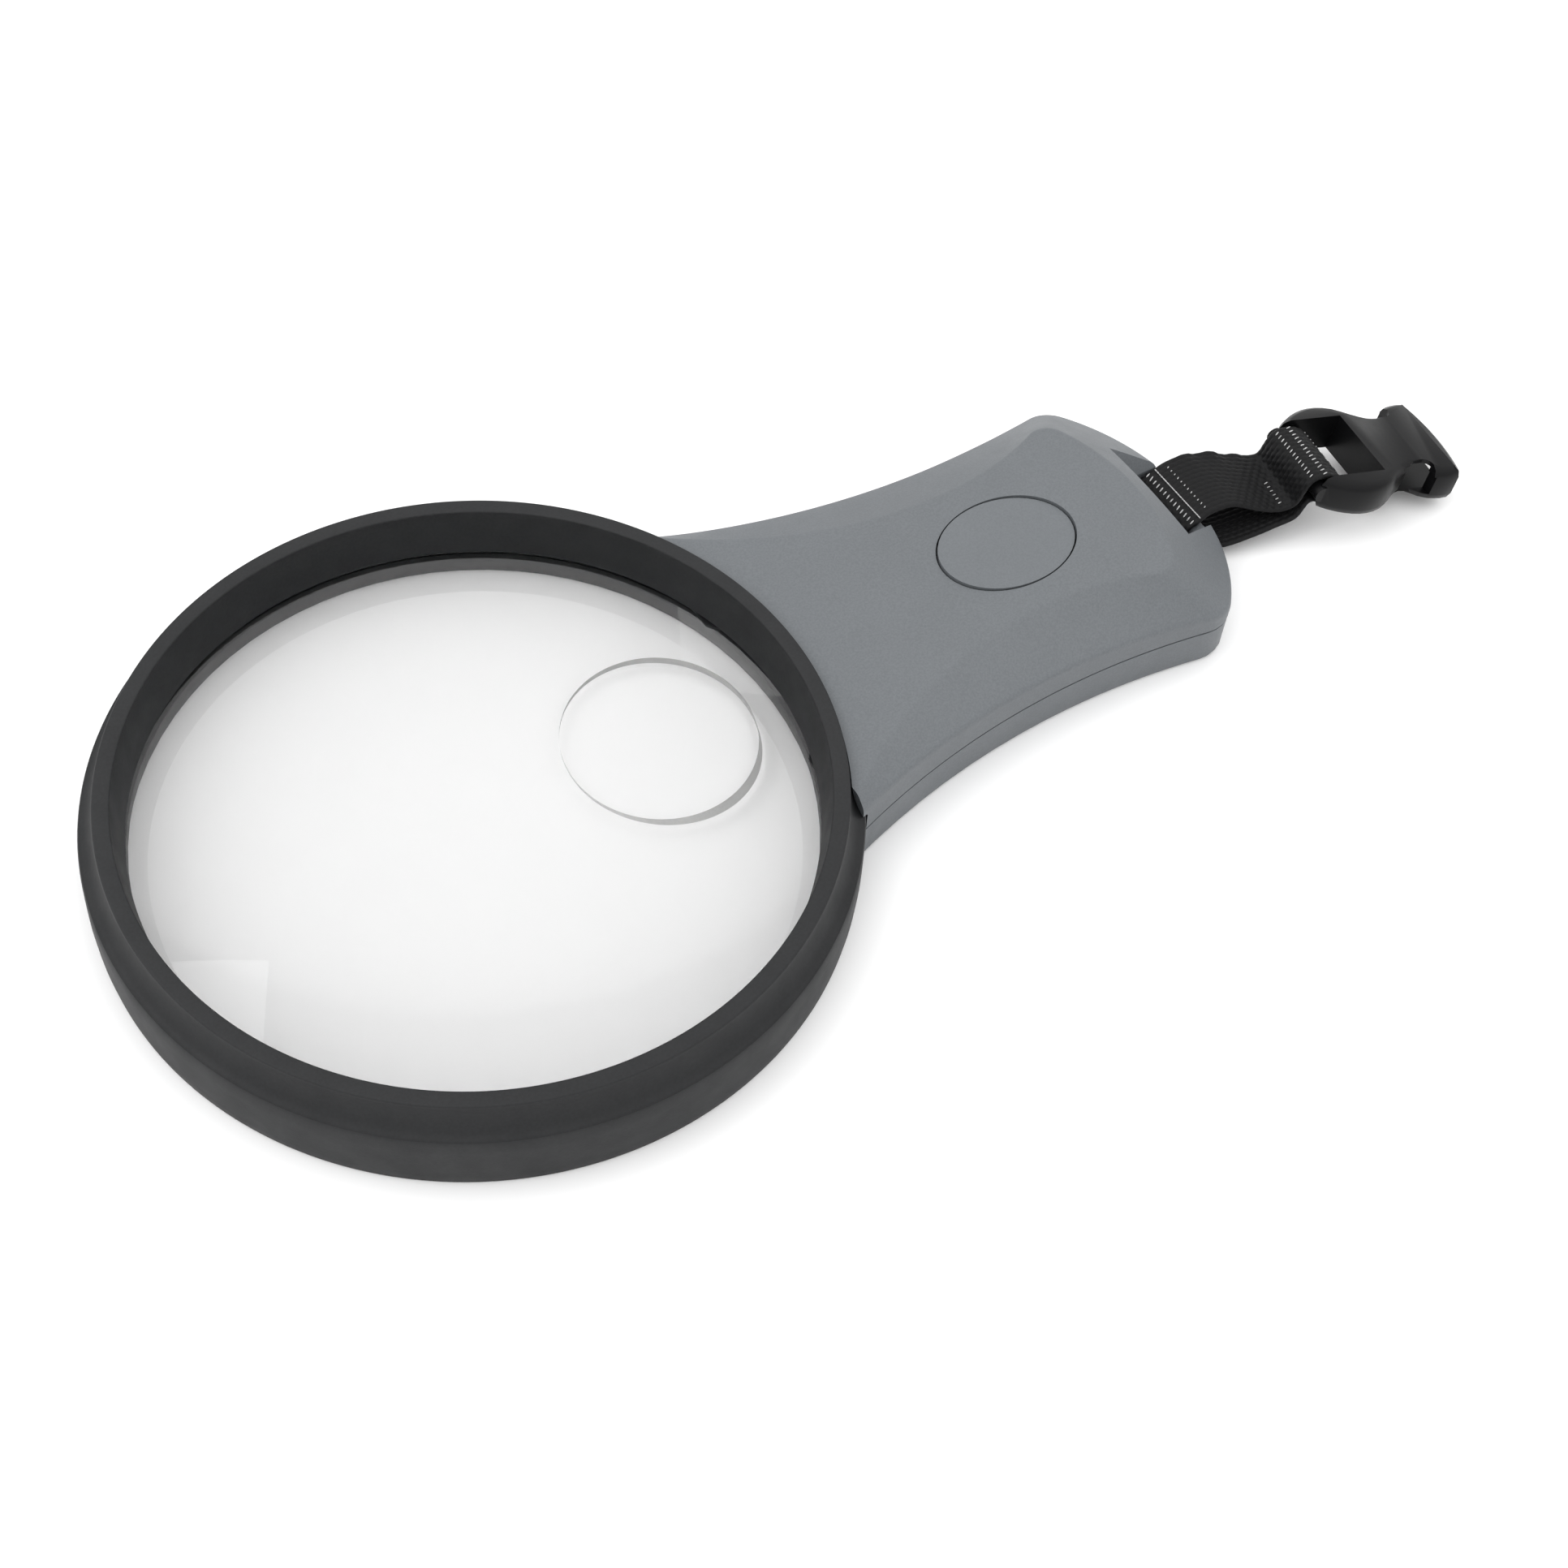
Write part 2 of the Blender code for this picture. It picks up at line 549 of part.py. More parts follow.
def make_lower_shell(parent, material, shared):
    top = SEAM_Z - GAP / 2
    shell = add_part("handle_lower_shell", lower_form("handle_lower_shell", 0, top), material,
                     parent)
    cavity = add_cutter("lower_cavity", lower_form("lower_cavity", FLOOR_Z, FAR, SHELL_T), parent)
    neck = cylinder_mesh("lower_neck_wall", NECK_WALL_R, (0, 0, -FAR), (0, 0, FAR * 2), 84)
    end_block = box_mesh("lower_end_block", (SLOT_X - 2.0 * MM, SLOT_X + FAR),
                         (-9.6 * MM, 9.6 * MM), (-FAR, FAR * 2))
    for mesh in (neck, end_block):
        boolean(cavity, add_cutter(mesh.name, mesh, parent))
    boolean(shell, cavity)

    for index, (x, y) in enumerate(screw_places()):
        boss_top = EAR_Z[0] - GAP if x < BUTTON_X else top
        boss = boss_mesh(f"lower_boss_{index}", (x, y), LOWER_BOSS_R, MM, boss_top)
        boolean(shell, add_cutter(boss.name, boss, parent), "UNION")
        bore = boss_mesh(f"head_bore_{index}", (x, y), SCREW_HEAD_R + GAP, -FAR, SCREW_SEAT_Z)
        boolean(shell, add_cutter(bore.name, bore, parent))
        shank = boss_mesh(f"shank_hole_{index}", (x, y), SCREW_SHANK_R + GAP, -FAR, FAR)
        boolean(shell, add_cutter(shank.name, shank, parent))

    openings = {
        "door_opening": rounded_rectangle((DOOR_X[0] - DOOR_CLEARANCE, DOOR_X[1] + DOOR_CLEARANCE),
                                          (-DOOR_HALF - DOOR_CLEARANCE,
                                           DOOR_HALF + DOOR_CLEARANCE), 2.4 * MM),
        "window_opening": rounded_rectangle((WINDOW_X[0] - GAP, WINDOW_X[1] + GAP),
                                            (-WINDOW_HALF - GAP, WINDOW_HALF + GAP), 1.3 * MM),
    }
    for name, outline in openings.items():
        boolean(shell, add_cutter(name, extrude_mesh(name, outline, -MM, FLOOR_Z + MM), parent))
    for side, label in ((1, "left"), (-1, "right")):
        ys = sorted((side * (EAR_Y[0] - GAP), side * (EAR_Y[1] + GAP)))
        notch = box_mesh("ear_notch_" + label, (50 * MM, 66 * MM), ys, (EAR_Z[0] - GAP, FAR))
        boolean(shell, add_cutter(notch.name, notch, parent))
    for tool in shared.values():
        boolean(shell, tool)

    half_x, half_z = BAR_SIZE[0] / 2, BAR_SIZE[1] / 2
    section = rounded_rectangle((-half_x, half_x), (-half_z, half_z), 1.9 * MM, 5)
    reach = SLOT_HALF + 1.2 * MM
    bar = extrude_mesh("strap_bar", section, -reach, reach)
    upright = (math.pi / 2, 0, 0)
    boolean(shell, add_cutter("strap_bar", bar, parent, (BAR_X, 0, BAR_Z), upright), "UNION")
    return shell


def make_battery_door(parent, material):
    """The door's parent empty stands on its hinge line."""
    shift = -DOOR_X[0]
    plate = rounded_rectangle((0, DOOR_X[1] + shift), (-DOOR_HALF, DOOR_HALF), 2.0 * MM)
    thickness = DOOR_Z[1] - DOOR_Z[0]
    door = add_part("battery_door", extrude_mesh("battery_door", plate, 0, thickness), material,
                    parent)
    hook_low = FLOOR_Z + GAP - DOOR_Z[0]
    hook_high = hook_low + 1.0 * MM
    for index, y in enumerate((-6 * MM, 6 * MM)):
        ys = (y - 2 * MM, y + 2 * MM)
        riser = box_mesh(f"hook_riser_{index}", (0.1 * MM, 1.4 * MM), ys, (0.5 * MM, hook_high))
        hook = box_mesh(f"hook_{index}", (-2.4 * MM, 1.0 * MM), ys, (hook_low, hook_high))
        for mesh in (riser, hook):
            boolean(door, add_cutter(mesh.name, mesh, parent), "UNION")
    latch_x = DOOR_X[1] + shift
    latch = box_mesh("door_latch", (latch_x - 1.5 * MM, latch_x - 0.1 * MM), (-4 * MM, 4 * MM),
                     (0.5 * MM, 4.0 * MM))
    boolean(door, add_cutter(latch.name, latch, parent), "UNION")
    for index in range(5):
        x = latch_x - (4.5 + 2.0 * index) * MM
        groove = box_mesh(f"grip_groove_{index}", (x - 0.45 * MM, x + 0.45 * MM),
                          (-7 * MM, 7 * MM), (-MM, 0.5 * MM))
        boolean(door, add_cutter(groove.name, groove, parent))
    return door


def screw_mesh(name, head_r, shank_r, head_z, tip_z):
    """A flat-headed screw with its axis on Z and its head down."""
    profile = [(0, head_z[0]), (head_r, head_z[0]), (head_r, head_z[1]), (shank_r, head_z[1]),
               (shank_r, tip_z), (0, tip_z)]
    return revolve_mesh(name, profile, 16, ring=False)


def make_shell_screws(parent, material):
    for index, (x, y) in enumerate(screw_places(), start=1):
        name = f"shell_screw_{index}"
        mesh = screw_mesh(name, SCREW_HEAD_R, SCREW_SHANK_R, SCREW_HEAD_Z, SCREW_TIP_Z)
        add_part(name, mesh, material, parent, (x, y, 0))


# ---------------------------------------------------------------- switch and electrics

def make_button(parent, material):
    """The button's parent empty stands on its axis at the plateau."""
    top = plateau_height(BUTTON_X)
    cap_half = (BUTTON_HALF[0] - GAP, BUTTON_HALF[1] - GAP)
    low, high = FLANGE_Z[0] - top, FLANGE_Z[1] - top
    cap = extrude_mesh("light_button", ellipse(0, *cap_half), low, 0)
    button = add_part("light_button", cap, material, parent)
    wide = ellipse(0, cap_half[0] + 1.2 * MM, cap_half[1] + 1.2 * MM)
    flange = extrude_mesh("button_flange", wide, low, high)
    stem = cylinder_mesh("button_stem", 2.0 * MM, (0, 0, STEM_FOOT_Z - top), (0, 0, low + MM))
    for mesh in (flange, stem):
        boolean(button, add_cutter(mesh.name, mesh, parent), "UNION")
    return button


def make_switch(parent, plunger_parent, body_material, plunger_material):
    low, high = BOARD_Z[1] + GAP, 12.1 * MM
    body_mesh = box_mesh("switch_body", (BUTTON_X - 3 * MM, BUTTON_X + 3 * MM),
                         (-3 * MM, 3 * MM), (low, high))
    body = add_part("switch_body", body_mesh, body_material, parent)
    bore = cylinder_mesh("switch_bore", 2.1 * MM, (BUTTON_X, 0, 10.0 * MM), (BUTTON_X, 0, FAR))
    boolean(body, add_cutter(bore.name, bore, parent))
    stem = cylinder_mesh("switch_plunger", 1.7 * MM, (0, 0, -2.0 * MM), (0, 0, 0), 20)
    add_part("switch_plunger", stem, plunger_material, plunger_parent)


def board_screw_xs():
    return (BOARD_X[0] + 3 * MM, BOARD_X[1] - 3 * MM)


def make_board(parent, board_material, resistor_material, screw_material):
    outline = rounded_rectangle(BOARD_X, (-BOARD_HALF, BOARD_HALF), 1.0 * MM, 2)
    board = add_part("circuit_board", extrude_mesh("circuit_board", outline, *BOARD_Z),
                     board_material, parent)
    for index, x in enumerate(board_screw_xs()):
        hole = boss_mesh(f"board_hole_{index}", (x, 0), 0.8 * MM + GAP, -FAR, FAR)
        boolean(board, add_cutter(hole.name, hole, parent))

    y, z = -5.5 * MM, BOARD_Z[1] + 1.3 * MM
    resistor = cylinder_mesh("resistor", 0.95 * MM, (88.2 * MM, y, z), (94.2 * MM, y, z), 16)
    add_part("resistor", resistor, resistor_material, parent)
    for index, x in enumerate(board_screw_xs(), start=1):
        name = f"board_screw_{index}"
        mesh = screw_mesh(name, 1.7 * MM, 0.8 * MM, (5.9 * MM, 7.3 * MM), 12.6 * MM)
        add_part(name, mesh, screw_material, parent, (x, 0, 0))


def led_axis():
    """Direction in which the LEDs shine: down and towards the lens axis."""
    return Vector((-math.sin(LED_TILT), 0, -math.cos(LED_TILT)))


def led_profile():
    """An LED along +Z, its dome's tip at the origin."""
    dome = [(2.5 * MM * math.sin(a), -2.5 * MM * (1 - math.cos(a)))
            for a in (math.pi / 2 * i / 5 for i in range(6))]
    return dome + [(2.5 * MM, -7.6 * MM), (2.9 * MM, -7.6 * MM), (2.9 * MM, -8.6 * MM),
                   (0, -8.6 * MM)]


def make_leds(parent, led_material, holder_material):
    turn = Vector((0, 0, 1)).rotation_difference(led_axis()).to_euler()
    for index, side in enumerate((1, -1), start=1):
        name = f"led_{index}"
        place = (LED_TIP.x, side * LED_Y, LED_TIP.z)
        mesh = revolve_mesh(name, led_profile(), 20, ring=False)
        add_part(name, mesh, led_material, parent, place, turn)

    frame = make_empty("led_holder_place", parent, LED_TIP, turn)
    holder = add_part("led_holder", box_mesh("led_holder", (-3.7 * MM, 3.7 * MM),
                                             (-10.6 * MM, 10.6 * MM), (-6.6 * MM, -3.6 * MM)),
                      holder_material, frame)
    for index, side in enumerate((1, -1), start=1):
        bore = cylinder_mesh(f"led_bore_{index}", 2.5 * MM + GAP, (0, side * LED_Y, -FAR),
                             (0, side * LED_Y, FAR))
        boolean(holder, add_cutter(bore.name, bore, frame))


def make_window(parent, material):
    plate = rounded_rectangle(WINDOW_X, (-WINDOW_HALF, WINDOW_HALF), 1.0 * MM)
    window = add_part("led_window", extrude_mesh("led_window", plate, 0.3 * MM, 2.6 * MM),
                      material, parent)
    lip = rounded_rectangle((WINDOW_X[0] - 0.9 * MM, WINDOW_X[1] + 0.9 * MM),
                            (-WINDOW_HALF - 0.9 * MM, WINDOW_HALF + 0.9 * MM), 1.0 * MM)
    flange = extrude_mesh("window_flange", lip, FLOOR_Z + GAP, 3.1 * MM)
    boolean(window, add_cutter(flange.name, flange, parent), "UNION")
    return window


def make_cells(parent, materials):
    """Cell 1 has its positive end at the rear, cell 2 at the front."""
    nub_r, nub_length, edge = 2.6 * MM, 0.9 * MM, 0.4 * MM
    front_x = FRONT_PLATE_X + PLATE_T + GAP
    rear_x = REAR_PLATE_X - GAP
    profile = [(0, 0), (nub_r, 0), (nub_r, nub_length), (CELL_R - edge, nub_length),
               (CELL_R, nub_length + edge), (CELL_R, CELL_LENGTH - edge),
               (CELL_R - edge, CELL_LENGTH), (0, CELL_LENGTH)]
    ends = ((1, rear_x, -math.pi / 2), (-1, front_x, math.pi / 2))
    for index, (side, nub_x, turn) in enumerate(ends, start=1):
        name = f"battery_{index}"
        mesh = revolve_mesh(name, profile, 28, ring=False)
        add_part(name, mesh, materials[index - 1], parent, (nub_x, side * CELL_Y, CELL_Z),
                 (0, turn, 0))


def make_contacts(parent, materials):
    bridge = box_mesh("contact_bridge", (FRONT_PLATE_X, FRONT_PLATE_X + PLATE_T),
                      (-20.5 * MM, 20.5 * MM), (4.8 * MM, 11.0 * MM))
    add_part("contact_bridge", bridge, materials["bridge"], parent)
    for name, side in (("terminal_positive", 1), ("terminal_negative", -1)):
        ys = sorted((side * 11.0 * MM, side * 19.5 * MM))
        plate = box_mesh(name, (REAR_PLATE_X, REAR_PLATE_X + PLATE_T), ys, (3.4 * MM, 10.6 * MM))
        add_part(name, plate, materials[name], parent)
    springs = (("spring_front", 1, FRONT_PLATE_X + PLATE_T + GAP, 1),
               ("spring_rear", -1, REAR_PLATE_X - GAP, -1))
    cell_end = REAR_PLATE_X - FRONT_PLATE_X - PLATE_T - 2 * GAP - CELL_LENGTH
    for name, side, start_x, direction in springs:
        spring_length = cell_end - GAP
        turns, steps, wire_r = 3, 14, 0.35 * MM
        points = []
        for i in range(turns * steps + 1):
            share = i / (turns * steps)
            angle = 2 * math.pi * turns * share
            radius = (3.6 - 1.6 * share) * MM
            x = start_x + direction * (wire_r + share * (spring_length - 2 * wire_r))
            points.append((x, side * CELL_Y + radius * math.cos(angle),
                           CELL_Z + radius * math.sin(angle)))
        add_wire(name, points, wire_r, materials[name], parent, resolution=1)


def add_wire(name, points, radius, material, parent, resolution=2):
    curve = bpy.data.curves.new(name, "CURVE")
    curve.dimensions = "3D"
    curve.bevel_depth = radius
    curve.bevel_resolution = resolution
    curve.use_fill_caps = True
    spline = curve.splines.new("POLY")
    spline.points.add(len(points) - 1)
    for target, point in zip(spline.points, points):
        target.co = (*point, 1.0)
    curve.materials.append(material)
    wire = bpy.data.objects.new(name, curve)
    bpy.context.scene.collection.objects.link(wire)
    wire.parent = parent
    return wire


def make_leads(parent, materials):
    """Insulated leads, each along a smooth curve through its own route."""
    radius = 0.5 * MM
    led_back = LED_TIP - led_axis() * 9.4 * MM
    routes = {
        "battery_lead_red": [(127.1, 10.2, 7.4), (126.4, 8.6, 6.0), (123.5, 7.4, 5.2),
                             (119.5, 6.4, 5.3), (116.5, 5.6, 6.1), (114.5, 5.2, 6.8)],
        "battery_lead_black": [(127.1, -10.2, 7.4), (126.4, -8.6, 6.0), (123.5, -7.4, 5.2),
                               (119.5, -6.4, 5.3), (116.5, -5.6, 6.1), (114.5, -5.2, 6.8)],
        "led_lead_red": [(led_back.x / MM, 5.5, led_back.z / MM), (74.4, 5.6, 11.6),
                         (76.6, 5.8, 12.6), (80.0, 6.0, 11.6), (83.5, 6.2, 9.6)],
        "led_lead_black": [(led_back.x / MM, -5.5, led_back.z / MM), (74.4, -5.6, 11.6),
                           (76.6, -5.8, 12.6), (80.0, -6.0, 11.6), (83.5, -6.2, 9.6)],
    }
    for name, route in routes.items():
        points = smooth_curve([Vector(point) * MM for point in route], 3)
        add_wire(name, points, radius, materials[name], parent)


# ---------------------------------------------------------------- webbing and buckle

def buckle_rotation():
    return Euler(BUCKLE_TURN).to_matrix()


def webbing_path():
    """Middle line of the webbing loop, with the direction across the webbing at each point."""
    wrap = GAP + WEB_T / 2
    bar = Vector((BAR_X, 0, BAR_Z))
    half_x, half_z = BAR_SIZE[0] / 2 + wrap, BAR_SIZE[1] / 2 + wrap
    straight = Vector((0, 1, 0))
    turn = buckle_rotation()
    buckle_across = turn @ straight

    near_bar = []
    for i in range(9):
        angle = -math.pi / 2 - math.pi * i / 8
        shift = -0.5 * math.sin(angle) * MM
        near_bar.append(bar + Vector((half_x * math.cos(angle), -shift,
                                      half_z * math.sin(angle))))
    loop_r = BUCKLE_BAR_R + wrap
    bend = [(-2.7 * MM, 0, 0.2 * MM), (-1.8 * MM, 0, 2.0 * MM), (0.2 * MM, 0, loop_r + 0.2 * MM),
            (2.9 * MM, 0, 2.2 * MM), (5.0 * MM, 0, 0.5 * MM), (4.6 * MM, 0, -1.5 * MM),
            (2.2 * MM, 0, -loop_r - 0.2 * MM), (-0.8 * MM, 0, -loop_r - 0.3 * MM)]
    at_buckle = [BUCKLE_BAR + turn @ Vector(point) for point in bend]
    upper = [Vector(point) * MM for point in UPPER_STRAND]
    lower = [Vector(point) * MM for point in reversed(LOWER_STRAND)]

    corners = near_bar + upper + at_buckle + lower
    turns = [0.0] * len(near_bar) + list(UPPER_TURN) + [1.0] * len(at_buckle)
    turns += list(reversed(LOWER_TURN))
    lifts = [0.0] * len(near_bar) + list(UPPER_LIFT) + [0.0] * (len(at_buckle) + len(lower))
    middle = smooth_curve(corners, 2, closed=True)
    shares = smooth_curve([(turn, 0, lift) for turn, lift in zip(turns, lifts)], 2, closed=True)
    return [(point, (straight.lerp(buckle_across, share.x) + Vector((0, 0, share.z))).normalized())
            for point, share in zip(middle, shares)]


def make_webbing(parent, material):
    """One closed band round both bars. The parent empty stands on the handle's strap bar."""
    path = webbing_path()
    bar = Vector((BAR_X, 0, BAR_Z))
    bm = bmesh.new()
    sections = []
    count = len(path)
    for i, (point, across) in enumerate(path):
        tangent = (path[(i + 1) % count][0] - path[i - 1][0]).normalized()
        normal = tangent.cross(across).normalized() * WEB_T / 2
        side = across * WEB_HALF
        corners = (point + side + normal, point + side - normal,
                   point - side - normal, point - side + normal)
        sections.append([bm.verts.new(corner - bar) for corner in corners])
    for i, section in enumerate(sections):
        following = sections[(i + 1) % count]
        for k in range(4):
            j = (k + 1) % 4
            bm.faces.new((section[k], section[j], following[j], following[k]))
    return add_part("strap_webbing", finish_mesh(bm, "strap_webbing"), material, parent)


def buckle_half_outline():
    """The +Y half of the buckle in plan: round web end, narrow neck, flared mouth, bowed end."""
    guide = [(-1.6, 6.4), (0.4, 8.5), (2.8, 10.1), (6.0, 11.3), (9.2, 11.6), (12.6, 10.8),
             (15.6, 8.8), (18.2, 7.3), (20.2, 7.2), (22.0, 8.7), (24.0, 9.7), (26.6, 10.1),
             (28.4, 9.9)]
    side = smooth_curve([(x * MM, y * MM, 0) for x, y in guide], 2)
    corner_y = 8.9 * MM
    bow = [(BUCKLE_END - BUCKLE_END_BOW * (y / corner_y) ** 2, y)
           for y in (corner_y * (1 - i / 4) for i in range(4))]
    return [(point.x, point.y) for point in side] + bow + [(BUCKLE_END, 0)]


def rounded_plate(name, half, thickness, edge):
    """A plate over a symmetric outline, its top and bottom edges rounded."""
    outline = half + [(x, -y) for x, y in reversed(half[:-1])]
    count = len(outline)
    normals = []
    for i in range(count):
        along = Vector(outline[(i + 1) % count]) - Vector(outline[i - 1])
        normals.append(Vector((along.y, -along.x)).normalized())
    turning = sum(Vector(a).cross(Vector(b)) for a, b in zip(outline, outline[1:]))
    outward = 1 if turning > 0 else -1
    bm = bmesh.new()
    rings = []
    steps = [(-1, turn) for turn in (75, 40, 0)] + [(1, turn) for turn in (0, 40, 75)]
    for side, turn in steps:
        angle = math.radians(turn)
        height = side * (thickness / 2 - edge + edge * math.sin(angle))
        pull = outward * edge * (math.cos(angle) - 1)
        rings.append([bm.verts.new((x + normal.x * pull, y + normal.y * pull, height))
                      for (x, y), normal in zip(outline, normals)])
    for lower, upper in zip(rings, rings[1:]):
        for i in range(count):
            j = (i + 1) % count
            bm.faces.new((lower[i], lower[j], upper[j], upper[i]))
    bm.faces.new(rings[0])
    bm.faces.new(rings[-1])
    return finish_mesh(bm, name)


def make_buckle(parent, material):
    """The buckle along +X from its web bar. The parent empty stands on the web bar."""
    body = rounded_plate("buckle_socket", buckle_half_outline(), BUCKLE_T, BUCKLE_EDGE)
    buckle = add_part("buckle_socket", body, material, parent)
    slot_half = WEB_HALF + 0.7 * MM
    socket_y, socket_z = SOCKET_HALF
    socket = rounded_rectangle((SOCKET_START, FAR), (-socket_y, socket_y), 2.0 * MM)
    cutters = [box_mesh("side_windows", (18.35 * MM, 23.65 * MM), (-FAR, FAR),
                        (-1.9 * MM, 1.9 * MM)),
               extrude_mesh("socket_cavity", socket, -socket_z, socket_z),
               box_mesh("web_opening", (-FAR, WEB_OPENING_END), (-slot_half, slot_half),
                        (-FAR, FAR))]
    for side, label in ((1, "left"), (-1, "right")):
        ys = sorted((side * 6.1 * MM, side * FAR))
        notch = rounded_rectangle((18.75 * MM, 23.3 * MM), ys, 1.5 * MM)
        cutters.append(extrude_mesh("thumb_notch_" + label, notch, 0.3 * MM, FAR))
    for mesh in cutters:
        boolean(buckle, add_cutter(mesh.name, mesh, parent))
    reach = slot_half + 0.8 * MM
    bar = cylinder_mesh("web_bar", BUCKLE_BAR_R, (0, -reach, 0), (0, reach, 0), 16)
    boolean(buckle, add_cutter("web_bar", bar, parent), "UNION")
    return buckle


# ---------------------------------------------------------------- assembly

def make_materials():
    black = (0.030, 0.030, 0.034)
    grey = (0.185, 0.205, 0.222)
    steel = (0.60, 0.60, 0.58)
    looks = {
        "rim": (black, 0.62), "main_lens": ((0.95, 0.96, 0.96), 0.03, 0.0, 1.0),
        "lens_retaining_ring": (black, 0.55), "handle_upper_shell": (grey, 0.58),
        "handle_lower_shell": (grey, 0.60), "light_button": (grey, 0.56),
        "battery_door": (grey, 0.60), "shell_screws": (steel, 0.35, 1.0),
        "circuit_board": ((0.02, 0.16, 0.07), 0.5), "resistor": ((0.45, 0.36, 0.22), 0.5),
        "board_screws": (steel, 0.35, 1.0), "switch_body": ((0.05, 0.05, 0.05), 0.4),
        "switch_plunger": ((0.55, 0.06, 0.04), 0.4), "led": ((0.93, 0.94, 0.95), 0.08, 0.0, 0.8),
        "led_holder": ((0.80, 0.80, 0.78), 0.5), "led_window": ((0.93, 0.95, 0.95), 0.08, 0.0, 0.9),
        "battery_1": ((0.10, 0.10, 0.11), 0.35, 0.3), "battery_2": ((0.10, 0.10, 0.11), 0.35, 0.3),
        "contact_bridge": (steel, 0.3, 1.0), "terminal_positive": (steel, 0.3, 1.0),
        "terminal_negative": (steel, 0.3, 1.0), "spring_front": (steel, 0.3, 1.0),
        "spring_rear": (steel, 0.3, 1.0), "battery_lead_red": ((0.45, 0.02, 0.02), 0.5),
        "battery_lead_black": (black, 0.5), "led_lead_red": ((0.45, 0.02, 0.02), 0.5),
        "led_lead_black": (black, 0.5), "strap_webbing": ((0.012, 0.012, 0.013), 0.8),
        "buckle_socket": ((0.018, 0.018, 0.019), 0.38),
    }
    return {name: make_material(name, *look) for name, look in looks.items()}


def main():
    clear_scene()
    materials = make_materials()
    root = make_empty("magnifier", None, (LENS_AXIS_X, 0, 0))
    handle = make_empty("handle_body", root)
    button_top = (BUTTON_X, 0, plateau_height(BUTTON_X))
    button_place = make_empty("button_axis", root, button_top)
    plunger_place = make_empty("plunger_axis", root, (BUTTON_X, 0, STEM_FOOT_Z - GAP))
    door_place = make_empty("door_hinge", root, (DOOR_X[0], 0, DOOR_Z[0]))
    strap_place = make_empty("strap_bar_axis", root, (BAR_X, 0, BAR_Z))
    buckle_place = make_empty("buckle_bar_axis", root, BUCKLE_BAR, BUCKLE_TURN)

    make_rim(handle, materials["rim"])
    make_lens(handle, materials["main_lens"])
    make_retainer(handle, materials["lens_retaining_ring"])
    shared = add_handle_cutters(handle)
    make_upper_shell(handle, materials["handle_upper_shell"], shared)
    make_lower_shell(handle, materials["handle_lower_shell"], shared)
    make_shell_screws(handle, materials["shell_screws"])
    make_button(button_place, materials["light_button"])
    make_switch(handle, plunger_place, materials["switch_body"], materials["switch_plunger"])
    make_board(handle, materials["circuit_board"], materials["resistor"],
               materials["board_screws"])
    make_leds(handle, materials["led"], materials["led_holder"])
    make_window(handle, materials["led_window"])
    make_cells(handle, (materials["battery_1"], materials["battery_2"]))
    contact_names = ("terminal_positive", "terminal_negative", "spring_front", "spring_rear")
    contact_materials = {name: materials[name] for name in contact_names}
    contact_materials["bridge"] = materials["contact_bridge"]
    make_contacts(handle, contact_materials)
    make_leads(handle, materials)
    make_battery_door(door_place, materials["battery_door"])
    make_webbing(strap_place, materials["strap_webbing"])
    make_buckle(buckle_place, materials["buckle_socket"])


main()
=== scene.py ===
"""Low vision magnifier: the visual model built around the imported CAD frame."""
import math
from collections import namedtuple

import bmesh
import bpy
from mathutils import Euler, Matrix, Vector, noise


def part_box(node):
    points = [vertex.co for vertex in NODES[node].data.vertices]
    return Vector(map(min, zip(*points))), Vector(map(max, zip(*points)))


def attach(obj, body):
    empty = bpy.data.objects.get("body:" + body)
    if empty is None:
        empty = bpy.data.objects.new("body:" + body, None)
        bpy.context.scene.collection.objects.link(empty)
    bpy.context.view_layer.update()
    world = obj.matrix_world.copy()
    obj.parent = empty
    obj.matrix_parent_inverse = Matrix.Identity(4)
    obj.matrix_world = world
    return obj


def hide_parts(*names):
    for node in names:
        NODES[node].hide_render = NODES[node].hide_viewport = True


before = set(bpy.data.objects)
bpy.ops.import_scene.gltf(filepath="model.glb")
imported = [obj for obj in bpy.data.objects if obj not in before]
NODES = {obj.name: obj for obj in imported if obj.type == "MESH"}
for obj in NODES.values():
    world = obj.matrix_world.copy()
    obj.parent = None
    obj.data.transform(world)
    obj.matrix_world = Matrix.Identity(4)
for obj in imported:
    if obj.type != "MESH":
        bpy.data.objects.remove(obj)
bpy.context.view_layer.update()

MM = 0.001

# The lens axis is the origin for the positions along the object that follow, in millimetres.
lens_low, lens_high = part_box("main_lens")
AXIS_X = (lens_low.x + lens_high.x) / 2

# Ring frame and lens, as in the CAD model
BAND_R = 60.7
BAND_TOP = 12.0
TOP_R = 57.75
TOP_Z = 17.6
MOUTH_R = 55.0
SEAT_R = 53.7
SEAT_Z = 9.15
LENS_R = 55.0
LENS_EDGE = (5.6, 8.65)
LENS_TOP_CURVE = 240.0
LENS_BOTTOM_CURVE = 350.0
SPOT_X = 32.5
SPOT_R = 16.0
SPOT_LOW = 0.56
SPOT_CURVE = 300.0

# Ears of the ring frame inside the handle
EAR_X = (51.0, 74.5)
EAR_Y = (14.0, 23.0)
EAR_Z = (4.2, 6.8)
EAR_HOLE = (69.5, 18.5, 1.3)

